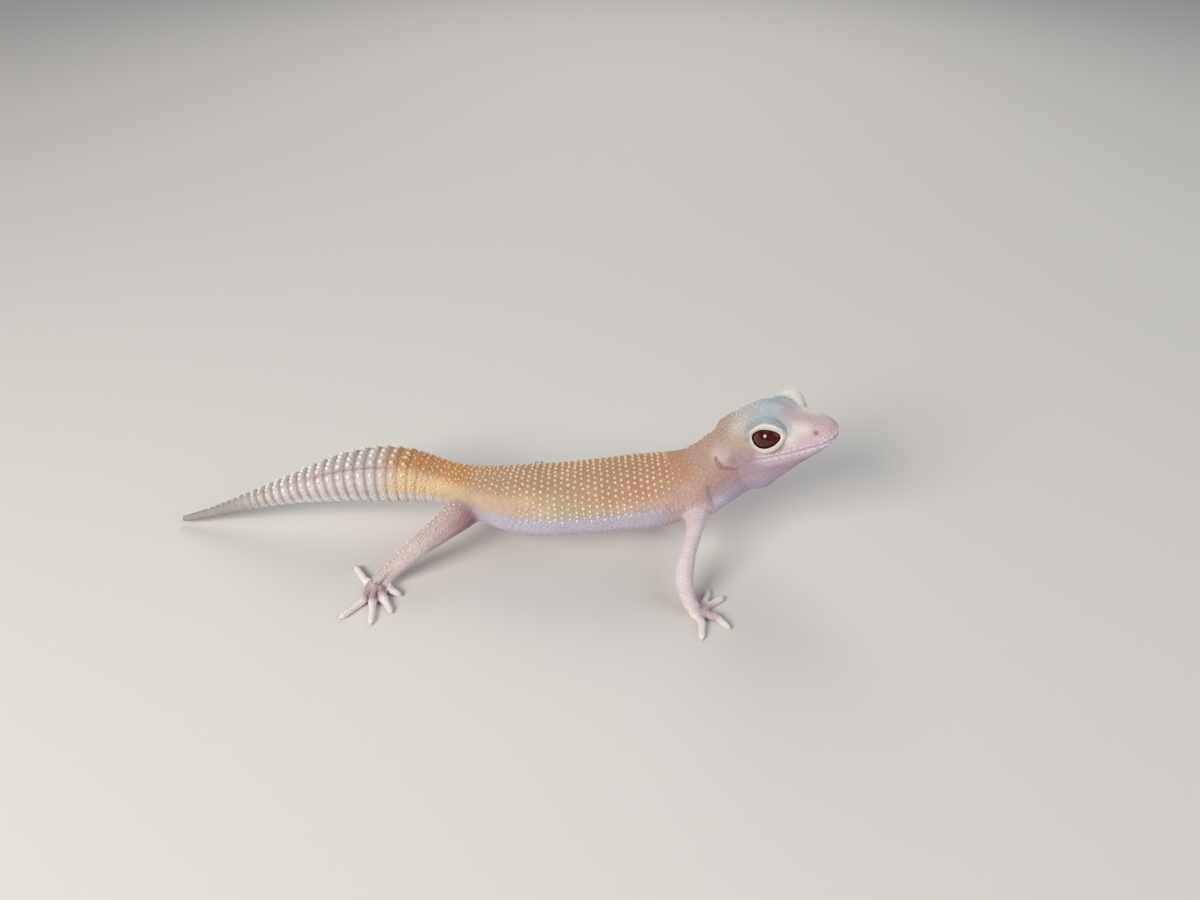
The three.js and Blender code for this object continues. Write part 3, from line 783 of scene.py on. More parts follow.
# Places along the body in millimetres from the tail's tip, turns in degrees from the back
def bodyColours(survey):
    along, angle = survey["along"], np.abs(survey["angle"])
    front, neck = ease(along, 82, 98), ease(along, 107, 113)
    rear = ease(along, 62, 68) * (1 - ease(along, 76, 84)) * ease(angle, 42, 62)
    return layered(
        plain("backRear", along),
        ("backFront", front),
        ("flankRear", ease(angle, 22, 55) * (1 - front)),
        ("flankFront", ease(angle, 22, 55) * front),
        ("lowRear", ease(angle, 50, 74) * (1 - front)),
        ("lowFront", ease(angle, 55, 78) * front),
        ("rearPink", 0.75 * rear),
        ("bellyEdge", ease(angle, 73, 87)),
        ("belly", ease(angle, 83, 100)),
        ("shoulder", ease(along, 100, 107) * ease(angle, 34, 70)),
        ("neckTop", neck),
        ("neckSide", neck * ease(angle, 22, 60)),
        ("neckBelow", neck * ease(angle, 70, 105)))


def tailColours(survey):
    along, angle = survey["along"], np.abs(survey["angle"])
    # groove is 1 in the grooves between the rings, where the painted shade goes
    groove = ringShape(along) * ease(along, 8, 20)
    crestHighlight = hill(ringPhase(along) % 1 - 0.5, 0.22) * ease(along, 12, 24)
    pale = layered(
        plain("tailTop", along),
        ("tailCrest", 0.35 + 0.5 * ease(angle, 25, 70)),
        # painted highlight on the crests of the rings
        ("tailCrest", crestHighlight * 0.6),
        # painted shade in the grooves between the rings
        ("grooveShade", groove * 0.9),
        ("tailBelow", ease(angle, 95, 125) * 0.85),
        ("tailTip", 1 - ease(along, 8, 24)))
    warm = layered(
        plain("orange", along),
        ("orangeSide", ease(angle, 22, 62)),
        ("orangeBelow", ease(angle, 82, 108)),
        # painted shade in the grooves, faint on the orange base
        ("grooveShade", groove * 0.25 * (1 - ease(along, 56, 62))))
    warm = warm + (bodyColours(survey) - warm) * ease(along, 60, 71)[:, None]
    furrow = forms["tailFurrow"]
    inside = between(along, furrow["from"], furrow["to"], 4, 6)
    beside = np.radians(angle - furrow["angle"]) * survey["radius"]
    spot = np.hypot((along - 32.2) / 1.9, np.radians(survey["angle"] + 42) * survey["radius"])
    return layered(
        pale + (warm - pale) * ease(along, 43, 51)[:, None],
        # painted shade along the furrow high on the tail's side
        ("grooveShade", 0.75 * inside * hill(beside, 0.3)),
        ("pink", 0.85 * hill(spot, 0.42)))


# Patches of the head, the same on both sides: place in the head's axes, width and strength
headPatches = [
    ("crown", (4.5, 0.0, 6.0), 5.2, 1.0), ("crown", (9.5, 0.0, 5.8), 4.2, 1.0),
    ("crownBlue", (9.0, 2.2, 5.7), 2.6, 0.9), ("lidSkin", (9.4, 5.2, 5.8), 2.2, 0.9),
    ("temple", (3.0, 4.0, 4.0), 2.0, 0.8), ("behindEye", (3.0, 6.0, 2.2), 2.2, 0.6),
    ("muzzle", (14.5, 0.0, 3.4), 3.2, 0.9), ("muzzle", (17.5, 0.0, 2.4), 2.6, 0.8),
    ("cream", (14.6, 3.0, 2.7), 1.5, 0.95), ("cream", (13.3, 4.6, 1.6), 1.6, 0.85),
    ("cream", (16.0, 2.4, 2.2), 1.1, 0.8),
    ("snout", (20.3, 0.0, 0.4), 1.8, 0.85), ("nostrilRim", (17.9, 2.7, 1.2), 1.2, 0.8),
    ("cheekGrey", (2.3, 7.4, -0.3), 1.3, 0.45), ("cheekGrey", (6.4, 7.3, -1.5), 1.2, 0.5),
    ("cheekGrey", (4.4, 7.0, 0.8), 1.2, 0.3),
]


def headColours(survey):
    q = survey["head_mm"]
    x, y, z = q[:, 0], np.abs(q[:, 1]), q[:, 2]
    folded = np.stack([x, y, z], 1)
    patches = [(name, strength * hill(np.linalg.norm(folded - np.array(place), axis=1), wide))
               for name, place, wide, strength in headPatches]
    gap, lips = z - mouthHeight(x), ease(x, 5.5, 9.0)
    nose = np.linalg.norm(folded - np.array(forms["nostril"]["at"]), axis=1)
    outer = ease(y, 5.0, 5.8)
    aboveEar = pathDistance(earPlan(q), [(-1.6, 1.2), (0.4, 0.2)])
    far, turn, beyond, upward = eyeAngles(q)
    near = (turn < 120) * ease(-far, -5.2, -4.5)
    leftLid = (q[:, 1] > 0) * near * ease(upward, -0.2, 0.2)
    return layered(
        plain("neckSide", x),
        ("neckTop", ease(z, 0.0, 3.0) * (1 - ease(x, 1.0, 4.0))),
        ("jaw", ease(x, 0.5, 4.0) * ease(-z, -1.0, 1.5)),
        ("throat", ease(-z, 3.0, 6.5)),
        ("behindEye", 0.7 * ease(x, -1.0, 2.0) * (1 - ease(x, 6.0, 9.0)) * ease(z, -0.5, 1.5)),
        ("muzzle", ease(x, 11.0, 13.5) * ease(z, -0.5, 0.5)),
        *patches,
        ("lips", lips * 0.65 * hill(gap - 0.4, 1.1)),
        ("lips", lips * 0.6 * hill(gap + 0.9, 1.0)),
        # painted shade along the line of the mouth, in the snout's pink
        ("snout", lips * 0.5 * hill(gap, 0.14)),
        # painted shade in the hole of the nostril
        ("nostrilShade", 0.95 * hill(nose, 0.42)),
        ("earPale", outer * 0.8 * hill(aboveEar, 1.0)),
        # painted shade in the slit of the ear
        ("earShade", outer * 0.55 * hill(pathDistance(earPlan(q), forms["ear"]["line"]), 0.26)),
        ("lidSkin", (near * ease(upward, -0.2, 0.3) * ease(beyond, 14, 20)
                     * (1 - ease(beyond, 52, 62)) * 0.85)),
        # painted shade in the groove round the lid's rim and in the hollow over the eye
        ("creaseShade", near * 0.55 * hill(beyond - 20.5, 2.6)),
        ("creaseShade", near * 0.4 * hill(turn - 85, 5) * ease(upward, 0.1, 0.5)),
        ("lidRim", leftLid * (1 - ease(beyond, 36, 50)) * 0.8),
        ("lidRim", near * (1 - ease(beyond, 11, 14))))


def limbColours(points):
    nearest, along = limbOf(points)
    height = points[:, 2] / mm
    low = 1 - ease(height, 1.6, 3.2)
    col = plain("limb", points)
    for k, (name, line) in enumerate(limbs.items()):
        here, hind = nearest == k, name.startswith("hind")
        outward = unit(line[2] - line[0])
        gap = points - (line[0] + np.clip((points - line[0]) @ outward, 0, None)[:, None] * outward)
        rear = ease(unit(gap)[:, 0] * -1 + unit(gap)[:, 2] * 0.7, 0.1, 0.9)
        fromPalm = np.linalg.norm(points[:, :2] - line[3][:2], axis=1) / mm
        leg = [
            ("limbBack", here * rear * 0.9),
            # painted shade in the pit where the thigh meets the body, over the skin's reddish tone
            ("pitShade", here * hill(along - 4.5, 3.4) * (1 - rear * 0.8) * ease(height, 7, 10)),
            ("limbPale", here * 0.6 * ease(along, 8, 16) * (1 - rear * 0.6)),
        ]
        arm = [("limbPale", here * 0.85)]
        col = layered(
            col, *(leg if hind else arm),
            ("sole", here * low * (1 - ease(fromPalm, 1.6, 3.2)) * (0.85 if hind else 0.4)),
            ("toe", here * low * ease(fromPalm, 1.7, 3.2)))
    return col


def limbShare(survey):
    return survey["foreleg"] + survey["hindleg"] + survey["hand"] + survey["foot"]


def paintSkin(survey):
    points = survey["points"]
    col = bodyColours(survey)
    for over, mask in ((tailColours(survey), survey["tail"]),
                       (headColours(survey), survey["head"] + survey["lids"]),
                       (limbColours(points), limbShare(survey))):
        col = col + (over - col) * np.clip(mask, 0, 1)[:, None]
    blue = headOrigin + np.array([-4.2, -9.8, -8.9]) * mm  # the hollow below the throat
    # painted shade in the fold in front of the shoulder
    return layered(col, ("fold", 0.5 * nearShoulder(points, 0.8)),
                   ("blueWhite", 0.6 * hill(np.linalg.norm(points - blue, axis=1) / mm, 1.5)))


# Widens the borders between the parts, so that their colours run into each other
def softened(piece, survey, rounds=45):
    names = ["foreleg", "hindleg", "tail", "head", "lids"]
    masks = spread(edgesOf(piece.data), np.stack([survey[name] for name in names], 1), rounds)
    return {**survey, **{name: masks[:, k] for k, name in enumerate(names)}}


def giveColours(mesh, values):
    layer = mesh.color_attributes.new(name="paint", type="FLOAT_COLOR", domain="POINT")
    flat = np.ones((len(values), 4), np.float32)
    flat[:, :3] = values
    layer.data.foreach_set("color", flat.ravel())


skinColours = paintSkin(softened(skin, survey))
giveColours(skin.data, skinColours)
report("skin coloured")

# Where each place lies on the flat plan of the hide

planParts = {
    "long": 142.0,         # of the body, in millimetres
    "body": (0.36, 0.63),  # the trunk, head and tail lie above the limbs: from, height
    "limbWide": 0.25,      # each limb has its own share of the width below
    "patch": 0.0014,       # half the width of one scale's patch
}


def planOf(points, index):
    along, angle = survey["along"][index], survey["angle"][index]
    start, high = planParts["body"]
    plan = np.stack([0.01 + 0.98 * along / planParts["long"], start + high * (angle + 180) / 360], 1)
    limbish = limbShare(survey)[index] > 0.5
    nearest, down = limbOf(points)
    for k, line in enumerate(limbs.values()):
        here = limbish & (nearest == k)
        axis = unit(line[2] - line[0])
        side = unit(np.cross(axis, [0, 0, 1.0]))
        gap = points[here] - line[0]
        turn = np.arctan2(gap @ side, gap @ np.cross(side, axis))
        flat = points[here][:, :2] - line[3][:2]
        low = points[here][:, 2] < 2.4 * mm  # hands and feet lie flat, seen from above
        u = np.where(low, 0.12 + flat[:, 0] / mm * 0.012, 0.01 + 0.22 * np.clip(down[here] / 30, 0, 1))
        v = np.where(low, 0.08 + flat[:, 1] / mm * 0.009, 0.18 + 0.15 * (turn / math.pi + 1) / 2)
        plan[here] = np.stack([k * planParts["limbWide"] + u, v], 1)
    return np.clip(plan, 0.002, 0.998)


# One scale of each kind, as rings of a closed dome

def domeShape(sides, rings, top, tilt=0.0):
    points, faces = [], []
    for radius, height in rings:
        for i in range(sides):
            turn = 2 * math.pi * i / sides
            forward = radius * math.cos(turn) + tilt * max(height, 0)
            points.append((forward, radius * math.sin(turn), height))
    points.append((tilt, 0.0, top))
    last = len(rings) - 1
    for k in range(last):
        for i in range(sides):
            j = (i + 1) % sides
            faces.append((k * sides + i, k * sides + j, (k + 1) * sides + j, (k + 1) * sides + i))
    for i in range(sides):
        faces.append((last * sides + i, last * sides + (i + 1) % sides, len(points) - 1))
    faces.append(tuple(range(sides))[::-1])
    return np.array(points), faces


scaleKinds = {  # sides, rings of radius and height, height of the top, lean
    "granule": domeShape(6, [(1.0, -0.7), (0.86, 0.45)], 1.0),
    "plate": domeShape(8, [(1.0, -0.8), (0.93, 0.5), (0.55, 0.92)], 1.0),
    "tubercle": domeShape(8, [(1.0, -0.4), (0.9, 0.28), (0.55, 0.78)], 1.0, 0.16),
    "spike": domeShape(6, [(1.0, -0.4), (0.8, 0.35), (0.4, 0.85)], 1.0, 0.2),
}


def sowScales(name, kind, roots, normals, lies, sizes, colours, tips, index, paleFrom=0.2):
    shape, faces = scaleKinds[kind]
    count, width = len(roots), len(shape)
    along = unit(lies - (lies * normals).sum(1, keepdims=True) * normals)
    across = np.cross(normals, along)
    points = (roots[:, None] + along[:, None] * (shape[:, 0] * sizes[:, :1])[..., None]
              + across[:, None] * (shape[:, 1] * sizes[:, 1:2])[..., None]
              + normals[:, None] * (shape[:, 2] * sizes[:, 2:3])[..., None])
    loops = np.concatenate([np.array(face) for face in faces])
    starts = np.r_[0, np.cumsum([len(face) for face in faces])[:-1]]
    shift = np.arange(count)[:, None]
    mesh = bpy.data.meshes.new(name)
    mesh.vertices.add(count * width)
    mesh.vertices.foreach_set("co", points.astype(np.float32).ravel())
    mesh.loops.add(count * len(loops))
    mesh.loops.foreach_set("vertex_index", (loops + shift * width).astype(np.int32).ravel())
    mesh.polygons.add(count * len(faces))
    mesh.polygons.foreach_set("loop_start", (starts + shift * len(loops)).astype(np.int32).ravel())
    mesh.update(calc_edges=True)
    mesh.polygons.foreach_set("use_smooth", np.ones(count * len(faces), bool))
    tip = ease(shape[:, 2], paleFrom, 0.95)[None, :, None]
    giveColours(mesh, (colours[:, None] + (tips[:, None] - colours[:, None]) * tip).reshape(-1, 3))
    patch = planOf(roots, index)[:, None] + shape[None, :, :2] * planParts["patch"]
    layer = mesh.uv_layers.new(name="OFBake")
    layer.data.foreach_set("uv", patch[:, loops].astype(np.float32).ravel())
    piece = bpy.data.objects.new(name, mesh)
    bpy.context.scene.collection.objects.link(piece)
    mesh.calc_loop_triangles()
    coat.append(piece)
    report(f"{name}: {count} scales, {len(mesh.loop_triangles)} triangles")


skinPoints = survey["points"]
skinNormals = normalsOf(skin.data)
skinTree = KDTree(len(skinPoints))
for i, point in enumerate(skinPoints):
    skinTree.insert(point, i)
skinTree.balance()
skin.data.calc_loop_triangles()
skinFaces = np.empty(len(skin.data.loop_triangles) * 3, np.int32)
skin.data.loop_triangles.foreach_get("vertices", skinFaces)
skinCaster = BVHTree.FromPolygons([tuple(v) for v in skinPoints],
                                  [tuple(f) for f in skinFaces.reshape(-1, 3)])
dice = np.random.default_rng(7)
coat = []


def nearestSkin(points):
    return np.array([skinTree.find(point)[1] for point in points])


# Where a line from the middle of the body, at a given turn from the back, leaves the skin
def castFromSpine(along, angle):
    place = min(np.searchsorted(spineAt, along * mm), len(spine) - 1)
    start = np.array([np.interp(along * mm, spineAt, spine[:, k]) for k in range(3)])
    turn = math.radians(angle)
    out = spineOver[place] * math.cos(turn) + spineLeft[place] * math.sin(turn)
    spot, normal, _, _ = skinCaster.ray_cast(Vector(start), Vector(out), 30 * mm)
    if spot is None:
        return None
    return np.array(spot), np.array(normal), skinTree.find(spot)[1]


def scatterTree():
    tree = bpy.data.node_groups.new("scatterScales", "GeometryNodeTree")
    for way in ("INPUT", "OUTPUT"):
        tree.interface.new_socket("Geometry", in_out=way, socket_type="NodeSocketGeometry")
    start, end = addNode(tree, "NodeGroupInput"), addNode(tree, "NodeGroupOutput")
    spots = addNode(tree, "GeometryNodeDistributePointsOnFaces", name="spots", distribute_method="POISSON")
    mask = addNode(tree, "GeometryNodeInputNamedAttribute", {"Name": "sow"}, data_type="FLOAT")
    store = addNode(tree, "GeometryNodeStoreNamedAttribute", {"Name": "lean"}, data_type="FLOAT_VECTOR")
    verts = addNode(tree, "GeometryNodePointsToVertices")
    wire(tree,
         (start, 0, spots, "Mesh"), (mask, 0, spots, "Density Factor"),
         (spots, "Points", store, "Geometry"),
         (spots, "Normal", store, "Value"), (store, 0, verts, 0), (verts, 0, end, 0))
    return tree


scatter = scatterTree()


# Spots on the skin where the mask is set, at least the spacing apart, with the skin's normals there
def scatterOn(mask, spacing, seed):
    carrier = bpy.data.objects.new("scatter_carrier", skin.data.copy())
    bpy.context.scene.collection.objects.link(carrier)
    layer = carrier.data.attributes.new("sow", "FLOAT", "POINT")
    layer.data.foreach_set("value", mask.astype(np.float32))
    spots = scatter.nodes["spots"]
    spots.inputs["Distance Min"].default_value = spacing * mm
    spots.inputs["Density Max"].default_value = 4.5 / (spacing * mm) ** 2
    spots.inputs["Seed"].default_value = seed
    applyModifier(carrier, "NODES", node_group=scatter)
    roots = coordsOf(carrier.data)
    flat = np.empty(len(roots) * 3, np.float32)
    carrier.data.attributes["lean"].data.foreach_get("vector", flat)
    bpy.data.objects.remove(carrier)
    return roots, flat.reshape(-1, 3).astype(float)


# Which way scales lie: toward the tail on the body, toward the toes on the limbs
def liesAt(roots, index):
    place = np.searchsorted(spineAt / mm, np.clip(survey["along"][index], 0.5, 139))
    lies = -spineAlong[np.clip(place, 0, len(spine) - 1)]
    limbish = limbShare(survey)[index] > 0.5
    nearest = limbOf(roots)[0]
    for k, line in enumerate(limbs.values()):
        lies[limbish & (nearest == k)] = unit(line[2] - line[0])
    return lies + dice.normal(0, 0.06, lies.shape)


headish = np.clip(survey["head"] + survey["lids"], 0, 1)
faceFar, faceTurn, faceBeyond, _ = eyeAngles(survey["head_mm"])
lidBand = headish * (faceFar < 4.4) * (faceTurn < 120) * (faceBeyond < 17)
inEye = headish * (faceFar < 3.45)
lowSide = np.abs(survey["angle"])
face = headish * ease(survey["head_mm"][:, 0], 10.5, 11.0)
granules = {  # where, spacing in millimetres, how far each rises
    "crown": ((headish - face) * (1 - lidBand), 0.40, 0.17),
    "face": (face * (1 - lidBand), 0.33, 0.15),
    "lids": (lidBand * (faceBeyond > 3), 0.24, 0.12),
    "neck": (survey["neck"], 0.42, 0.17),
    "trunk": (survey["trunk"] * (lowSide < 84), 0.44, 0.2),
    "belly": (survey["trunk"] * (lowSide >= 84), 0.55, 0.1),
    "tail": (survey["tail"], 0.44, 0.12),
    "forelegs": (survey["foreleg"], 0.40, 0.13),
    "hindlegs": (survey["hindleg"], 0.42, 0.16),
    "hands": (survey["hand"], 0.32, 0.12),
    "feet": (survey["foot"], 0.32, 0.12),
}


def sowGranules():
    for seed, (name, (mask, spacing, rise)) in enumerate(granules.items()):
        roots, normals = scatterOn((mask > 0.5) * (inEye < 0.5), spacing, seed)
        index = nearestSkin(roots)
        size = spacing * (0.64 + 0.1 * dice.random((len(roots), 1))) * mm
        sizes = size * np.array([1.0, 1.0, rise / 0.6])
        base = skinColours[index] * (1 + dice.normal(0, 0.018, (len(roots), 1)))
        # each granule is darker at its root and paler at its top: painted shade between the granules and
        # painted highlight on their tops
        sowScales(f"scales_{name}", "granule", roots, normals, liesAt(roots, index), sizes,
                  base * 0.96, np.clip(base * 1.04 + 0.005, 0, 1), index)


sowGranules()

# The larger scales, set in rows

rows = {
    "trunk": {"from": 49.5, "to": 112, "step": 1.3, "wide": 0.42, "high": 0.36, "limit": 88.0,
              "counts": ((60, 11), (72, 15), (112, 18))},  # up to which place, how many in a column
    "tail": {"to": 52, "singleTo": 15, "wide": 0.46, "high": 0.4},
}
tailCrest = [  # turn from the back, then length, breadth and height of the scale
    (8, 1.25, 1.05, 1.2),
    (27, 1.3, 1.15, 1.5),
    (54, 0.95, 1.3, 0.8),
    (70, 0.6, 0.9, 0.4),
]
tubercleTip = linear("#f2dcba")
whiteTip = linear("#f5efe8")


# Spots at even steps over the back from flank to flank, closer together on the flanks
def columnPlaces(along, count, shift):
    turns = np.arange(-rows["trunk"]["limit"], rows["trunk"]["limit"] + 1, 3.0)
    hits = [castFromSpine(along, turn) for turn in turns]
    known = [k for k, hit in enumerate(hits) if hit is not None]
    spots = np.array([hits[k][0] for k in known])
    turns = turns[known]
    middle = np.abs(turns[:-1] + turns[1:]) / 2
    steps = np.linalg.norm(np.diff(spots, axis=0), axis=1) * (1 + 0.3 * ease(middle, 45, 75))
    length = np.r_[0, np.cumsum(steps)]
    return np.interp((np.arange(count) + 0.25 + shift) / count * length[-1], length, turns)


def sowRows():
    found, sizes, shares, places = [], [], [], []
    trunk = rows["trunk"]
    along, column = trunk["from"], 0
    while along < trunk["to"]:
        rearmost = along < 72
        count = next(number for limit, number in trunk["counts"] if along < limit)
        loose = 0.2 if rearmost else 0.08
        for angle in columnPlaces(along, count, 0.5 * (column % 2)):
            places.append((along + dice.normal(0, loose), angle + dice.normal(0, loose * 9)))
        column += 1
        along += trunk["step"] * (0.9 if rearmost else 1.0)
    for along, angle in places:
        hit = castFromSpine(along, angle)
        if hit is None or survey["trunk"][hit[2]] + survey["neck"][hit[2]] + survey["tail"][hit[2]] < 0.9:
            continue
        low = ease(abs(angle), 52, 80)
        fore = 1 - ease(along, 102.5 - 9 * low, 108.5 - 6 * low)  # they grow smaller toward the neck
        rear = 1 - 0.62 * (1 - ease(along, 69, 80)) * ease(abs(angle), 38, 60) * ease(along, 58, 64)
        hips = 0.86 if along < 72 else 1
        size = (1 - 0.14 * low) * (0.45 + 0.55 * fore) * rear * dice.normal(1, 0.07) * hips
        if fore < 0.06 and low > 0.2:
            continue
        wide = trunk["wide"] * size
        found.append(hit)
        sizes.append((wide, wide * 0.95, trunk["high"] * size * (0.5 + 0.5 * fore)))
        shares.append((0.45 + 0.33 * fore) * rear * (0.6 + 0.4 * ease(along, 58, 74)))
    roots, normals, index = (np.array(a) for a in zip(*found))
    sizes, shares = np.array(sizes) * mm, np.array(shares)[:, None]
    base = skinColours[index]
    pale = ease(np.abs(survey["angle"][index]), 58, 80)[:, None]
    tips = base + (tubercleTip + (whiteTip - tubercleTip) * pale * 0.6 - base) * shares
    sowScales("tubercles_trunk", "tubercle", roots, normals, liesAt(roots, index),
              sizes, base, tips, index, -0.2)


def sowTail():
    found, sizes = [], []
    tail = rows["tail"]
    steps = np.linspace(4, 60, 3000)
    phase = ringPhase(steps)
    crests = [steps[np.abs(phase - (k + 0.5)).argmin()] for k in range(int(phase[0]) + 1, int(phase[-1]))]
    for along in crests:
        grow = float(ease(along, 8, 28))
        if along > tail["to"]:
            continue
        for place, wide, broad, high in tailCrest[:1] if along < tail["singleTo"] else tailCrest:
            for side in (-1, 1):
                hit = castFromSpine(along + dice.normal(0, 0.06), side * (place + dice.normal(0, 1.2)))
                if hit is None or survey["tail"][hit[2]] < 0.6:
                    continue
                size = (0.38 + 0.62 * grow) * dice.normal(1, 0.05)
                found.append(hit)
                sizes.append((tail["wide"] * wide * size, tail["wide"] * broad * size,
                              tail["high"] * high * size))
    roots, normals, index = (np.array(a) for a in zip(*found))
    base = skinColours[index]
    warm = ease(survey["along"][index], 42, 52)[:, None]
    tips = base + (whiteTip + (tubercleTip - whiteTip) * warm - base) * 0.75
    sowScales("tubercles_tail", "tubercle", roots, normals, liesAt(roots, index),
              np.array(sizes) * mm, base, tips, index, -0.1)


spikes = {  # spacing, width and height in millimetres, how pale the tip is
    "nape": (0.9, 0.26, 0.34, 0.28),
    "hindlegs": (1.0, 0.3, 0.44, 0.85),
    "hips": (1.3, 0.2, 0.17, 0.6),
}


# Small pointed ones on nape and crown, on the back of the hind legs and over the hips
def sowSpikes():
    angle, along, q = np.abs(survey["angle"]), survey["along"], survey["head_mm"]
    rearward = skinNormals @ unit(np.array([-0.75, 0.1, 0.62]))
    crown = (survey["head"] > 0.5) & (q[:, 0] < 6.5) & (q[:, 2] > 2.2)
    masks = {
        "nape": ((survey["neck"] > 0.5) & (angle < 50)) | crown,
        "hindlegs": (survey["hindleg"] > 0.6) & (rearward > 0.36),
        "hips": (survey["trunk"] > 0.5) & (along < 74) & (angle < 50),
    }
    for seed, (name, (spacing, wide, high, share)) in enumerate(spikes.items()):
        roots, normals = scatterOn(masks[name], spacing, 40 + seed)
        index = nearestSkin(roots)
        size = dice.normal(1, 0.12, (len(roots), 1)) * mm
        base = skinColours[index]
        sowScales(f"tubercles_{name}", "spike", roots, normals, liesAt(roots, index),
                  size * np.array([wide, wide, high]), base, base + (whiteTip - base) * share, index)


sowRows()
sowTail()
sowSpikes()


# Plates along the lips and a fringe on the lids

lipPlates = [  # height over the mouth's line, then length, breadth and height of a plate
    (0.56, 0.56, 0.36, 0.12),
    (-0.52, 0.56, 0.34, 0.11),
    (1.18, 0.34, 0.26, 0.08),
]
fringe = {"count": 46, "beyond": 2.5, "behind": 6.0, "size": (0.2, 0.17, 0.13), "sunk": 0.02}


def sowLips():
    q = survey["head_mm"]
    gap = q[:, 2] - mouthHeight(q[:, 0])
    roots, lies, sizes = [], [], []
    for level, wide, tall, high in lipPlates:
        strip = np.flatnonzero((np.abs(gap - level) < 0.14) & (q[:, 0] > 6.4) & (headish > 0.7)
                               & (np.abs(q[:, 1]) < 8.2) & (faceFar > 4.1))
        turn = np.arctan2(q[strip, 1], q[strip, 0] - 9.0)
        line = q[strip[turn.argsort()]]
        for _ in range(12):
            line[1:-1] = (line[:-2] + line[1:-1] + line[2:]) / 3
        length = np.r_[0, np.cumsum(np.linalg.norm(np.diff(line, axis=0), axis=1))]
        count = int(length[-1] / (wide * 2.08))
        marks = (np.arange(count) + 0.5) / count * length[-1]
        spots = np.stack([np.interp(marks, length, line[:, k]) for k in range(3)], 1)
        run = np.stack([np.gradient(spots[:, k]) for k in range(3)], 1)
        roots.append(fromHead(spots))
        lies.append(unit(run) @ headTurn.T)
        fade = 0.75 + 0.25 * ease(spots[:, 0], 7.0, 11.0)
        sizes.append(np.stack([wide * fade, tall * fade, high * fade], 1) * mm)
    roots, lies, sizes = (np.concatenate(a) for a in (roots, lies, sizes))
    index = nearestSkin(roots)
    base = skinColours[index]
    # each lip plate is darker at its root and paler at its top: painted shade between the plates and
    # painted highlight on their tops
    sowScales("scales_lips", "plate", skinPoints[index], skinNormals[index], lies, sizes,
              base * 0.98, np.clip(base * 1.03 + 0.005, 0, 1), index)


def sowFringe():
    roots, normals, lies = [], [], []
    angle = (np.arange(fringe["count"]) + 0.5) / fringe["count"] * 2 * math.pi
    across, upward = np.cos(angle), np.sin(angle)
    edge, behind = fringe["beyond"], fringe["behind"]
    for side in (-1, 1):
        opening = almond(across, upward)
        height = lidHeight(side, edge, across, upward) - fringe["sunk"]
        here = aroundEye(side, height, opening + edge, angle)
        after = aroundEye(side, lidHeight(side, behind, across, upward), opening + behind, angle)
        roots.append(fromHead(here))
        normals.append(unit(here - eyePlace(side)) @ headTurn.T)
        lies.append(unit(here - after) @ headTurn.T)
    roots, normals, lies = (np.concatenate(a) for a in (roots, normals, lies))
    sizes = np.repeat([fringe["size"]], len(roots), 0) * mm
    pale = plain("lidRim", roots)
    # each fringe scale is darker at its root: painted shade where it meets the lid
    sowScales("scales_lid_fringe", "spike", roots, normals, lies, sizes,
              pale * 0.92, pale, nearestSkin(roots))


sowLips()
sowFringe()


# Eyes

eyeball = {
    "radius": 3.0, "bulge": 0.16, "bulgeTurn": 34.0,  # the clear front stands out this far, up to this turn
    "shadow": "#2b0507", "iris": "#310406", "glow": "#540a0f",
    "slit": 4.2,            # how much narrower than high the pupil is
    "pupil": (1.25, 1.75),  # half its height, where its edge begins and ends
    "threads": 3.2,
}


def makeEye(side, node):
    bpy.ops.mesh.primitive_uv_sphere_add(segments=72, ring_count=44, radius=eyeball["radius"] * mm)
    piece = bpy.context.object
    piece.name = f"eyeball_{'left' if side > 0 else 'right'}"
    out, over, beside = gazeAxes(side)
    local = coordsOf(piece.data) / mm
    turn = np.degrees(np.arccos(np.clip(local[:, 2] / eyeball["radius"], -1, 1)))
    rise = eyeball["bulge"] * np.clip(1 - (turn / eyeball["bulgeTurn"]) ** 2, 0, 1) ** 1.5
    local *= 1 + (rise / eyeball["radius"])[:, None]
    placed = eyePlace(side) + local[:, :1] * beside + local[:, 1:2] * over + local[:, 2:] * out
    setCoords(piece.data, fromHead(placed))
    layer = piece.data.attributes.new("gazePlace", "FLOAT_VECTOR", "POINT")
    layer.data.foreach_set("vector", local.astype(np.float32).ravel())
    pick(piece)
    bpy.ops.object.shade_smooth()
    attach(piece, "root")
    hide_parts(node)
    return piece


eyes = [makeEye(-1, "eye_right"), makeEye(1, "eye_left")]


# Claws

claw = {
    "count": 5, "long": 0.45, "radius": 0.17, "end": 0.02, "drop": 0.1, "colour": "#e6d9d0",
    "toe": {"high": 2.2, "near": 2.3, "end": 0.8, "wide": 1.0},  # for finding the toes in the solids
}


# The tip of each toe and which way it points
def toeTips(node):
    toe = {key: value * mm for key, value in claw["toe"].items()}
    points = nodePoints(node)
    middle = (points.min(0) + points.max(0))[:2] / 2
    low = points[points[:, 2] < toe["high"]]
    tips = []
    while len(tips) < claw["count"] and len(low):
        away = np.linalg.norm(low[:, :2] - middle, axis=1)
        tip = low[away.argmax()]
        near = np.linalg.norm(low[:, :2] - tip[:2], axis=1) < toe["near"]
        inner = low[near & (away < away.max() - toe["end"])]
        root = inner.mean(0) if len(inner) else np.array([*middle, tip[2]])
        tips.append((drawToes(tip[None])[0][0], unit(tip - root)))
        outward = (low[:, :2] - middle) @ unit(tip[:2] - middle)
        aside = np.linalg.norm(low[:, :2] - middle - outward[:, None] * unit(tip[:2] - middle), axis=1)
        low = low[~((aside < toe["wide"]) & (outward > 0))]
    return tips


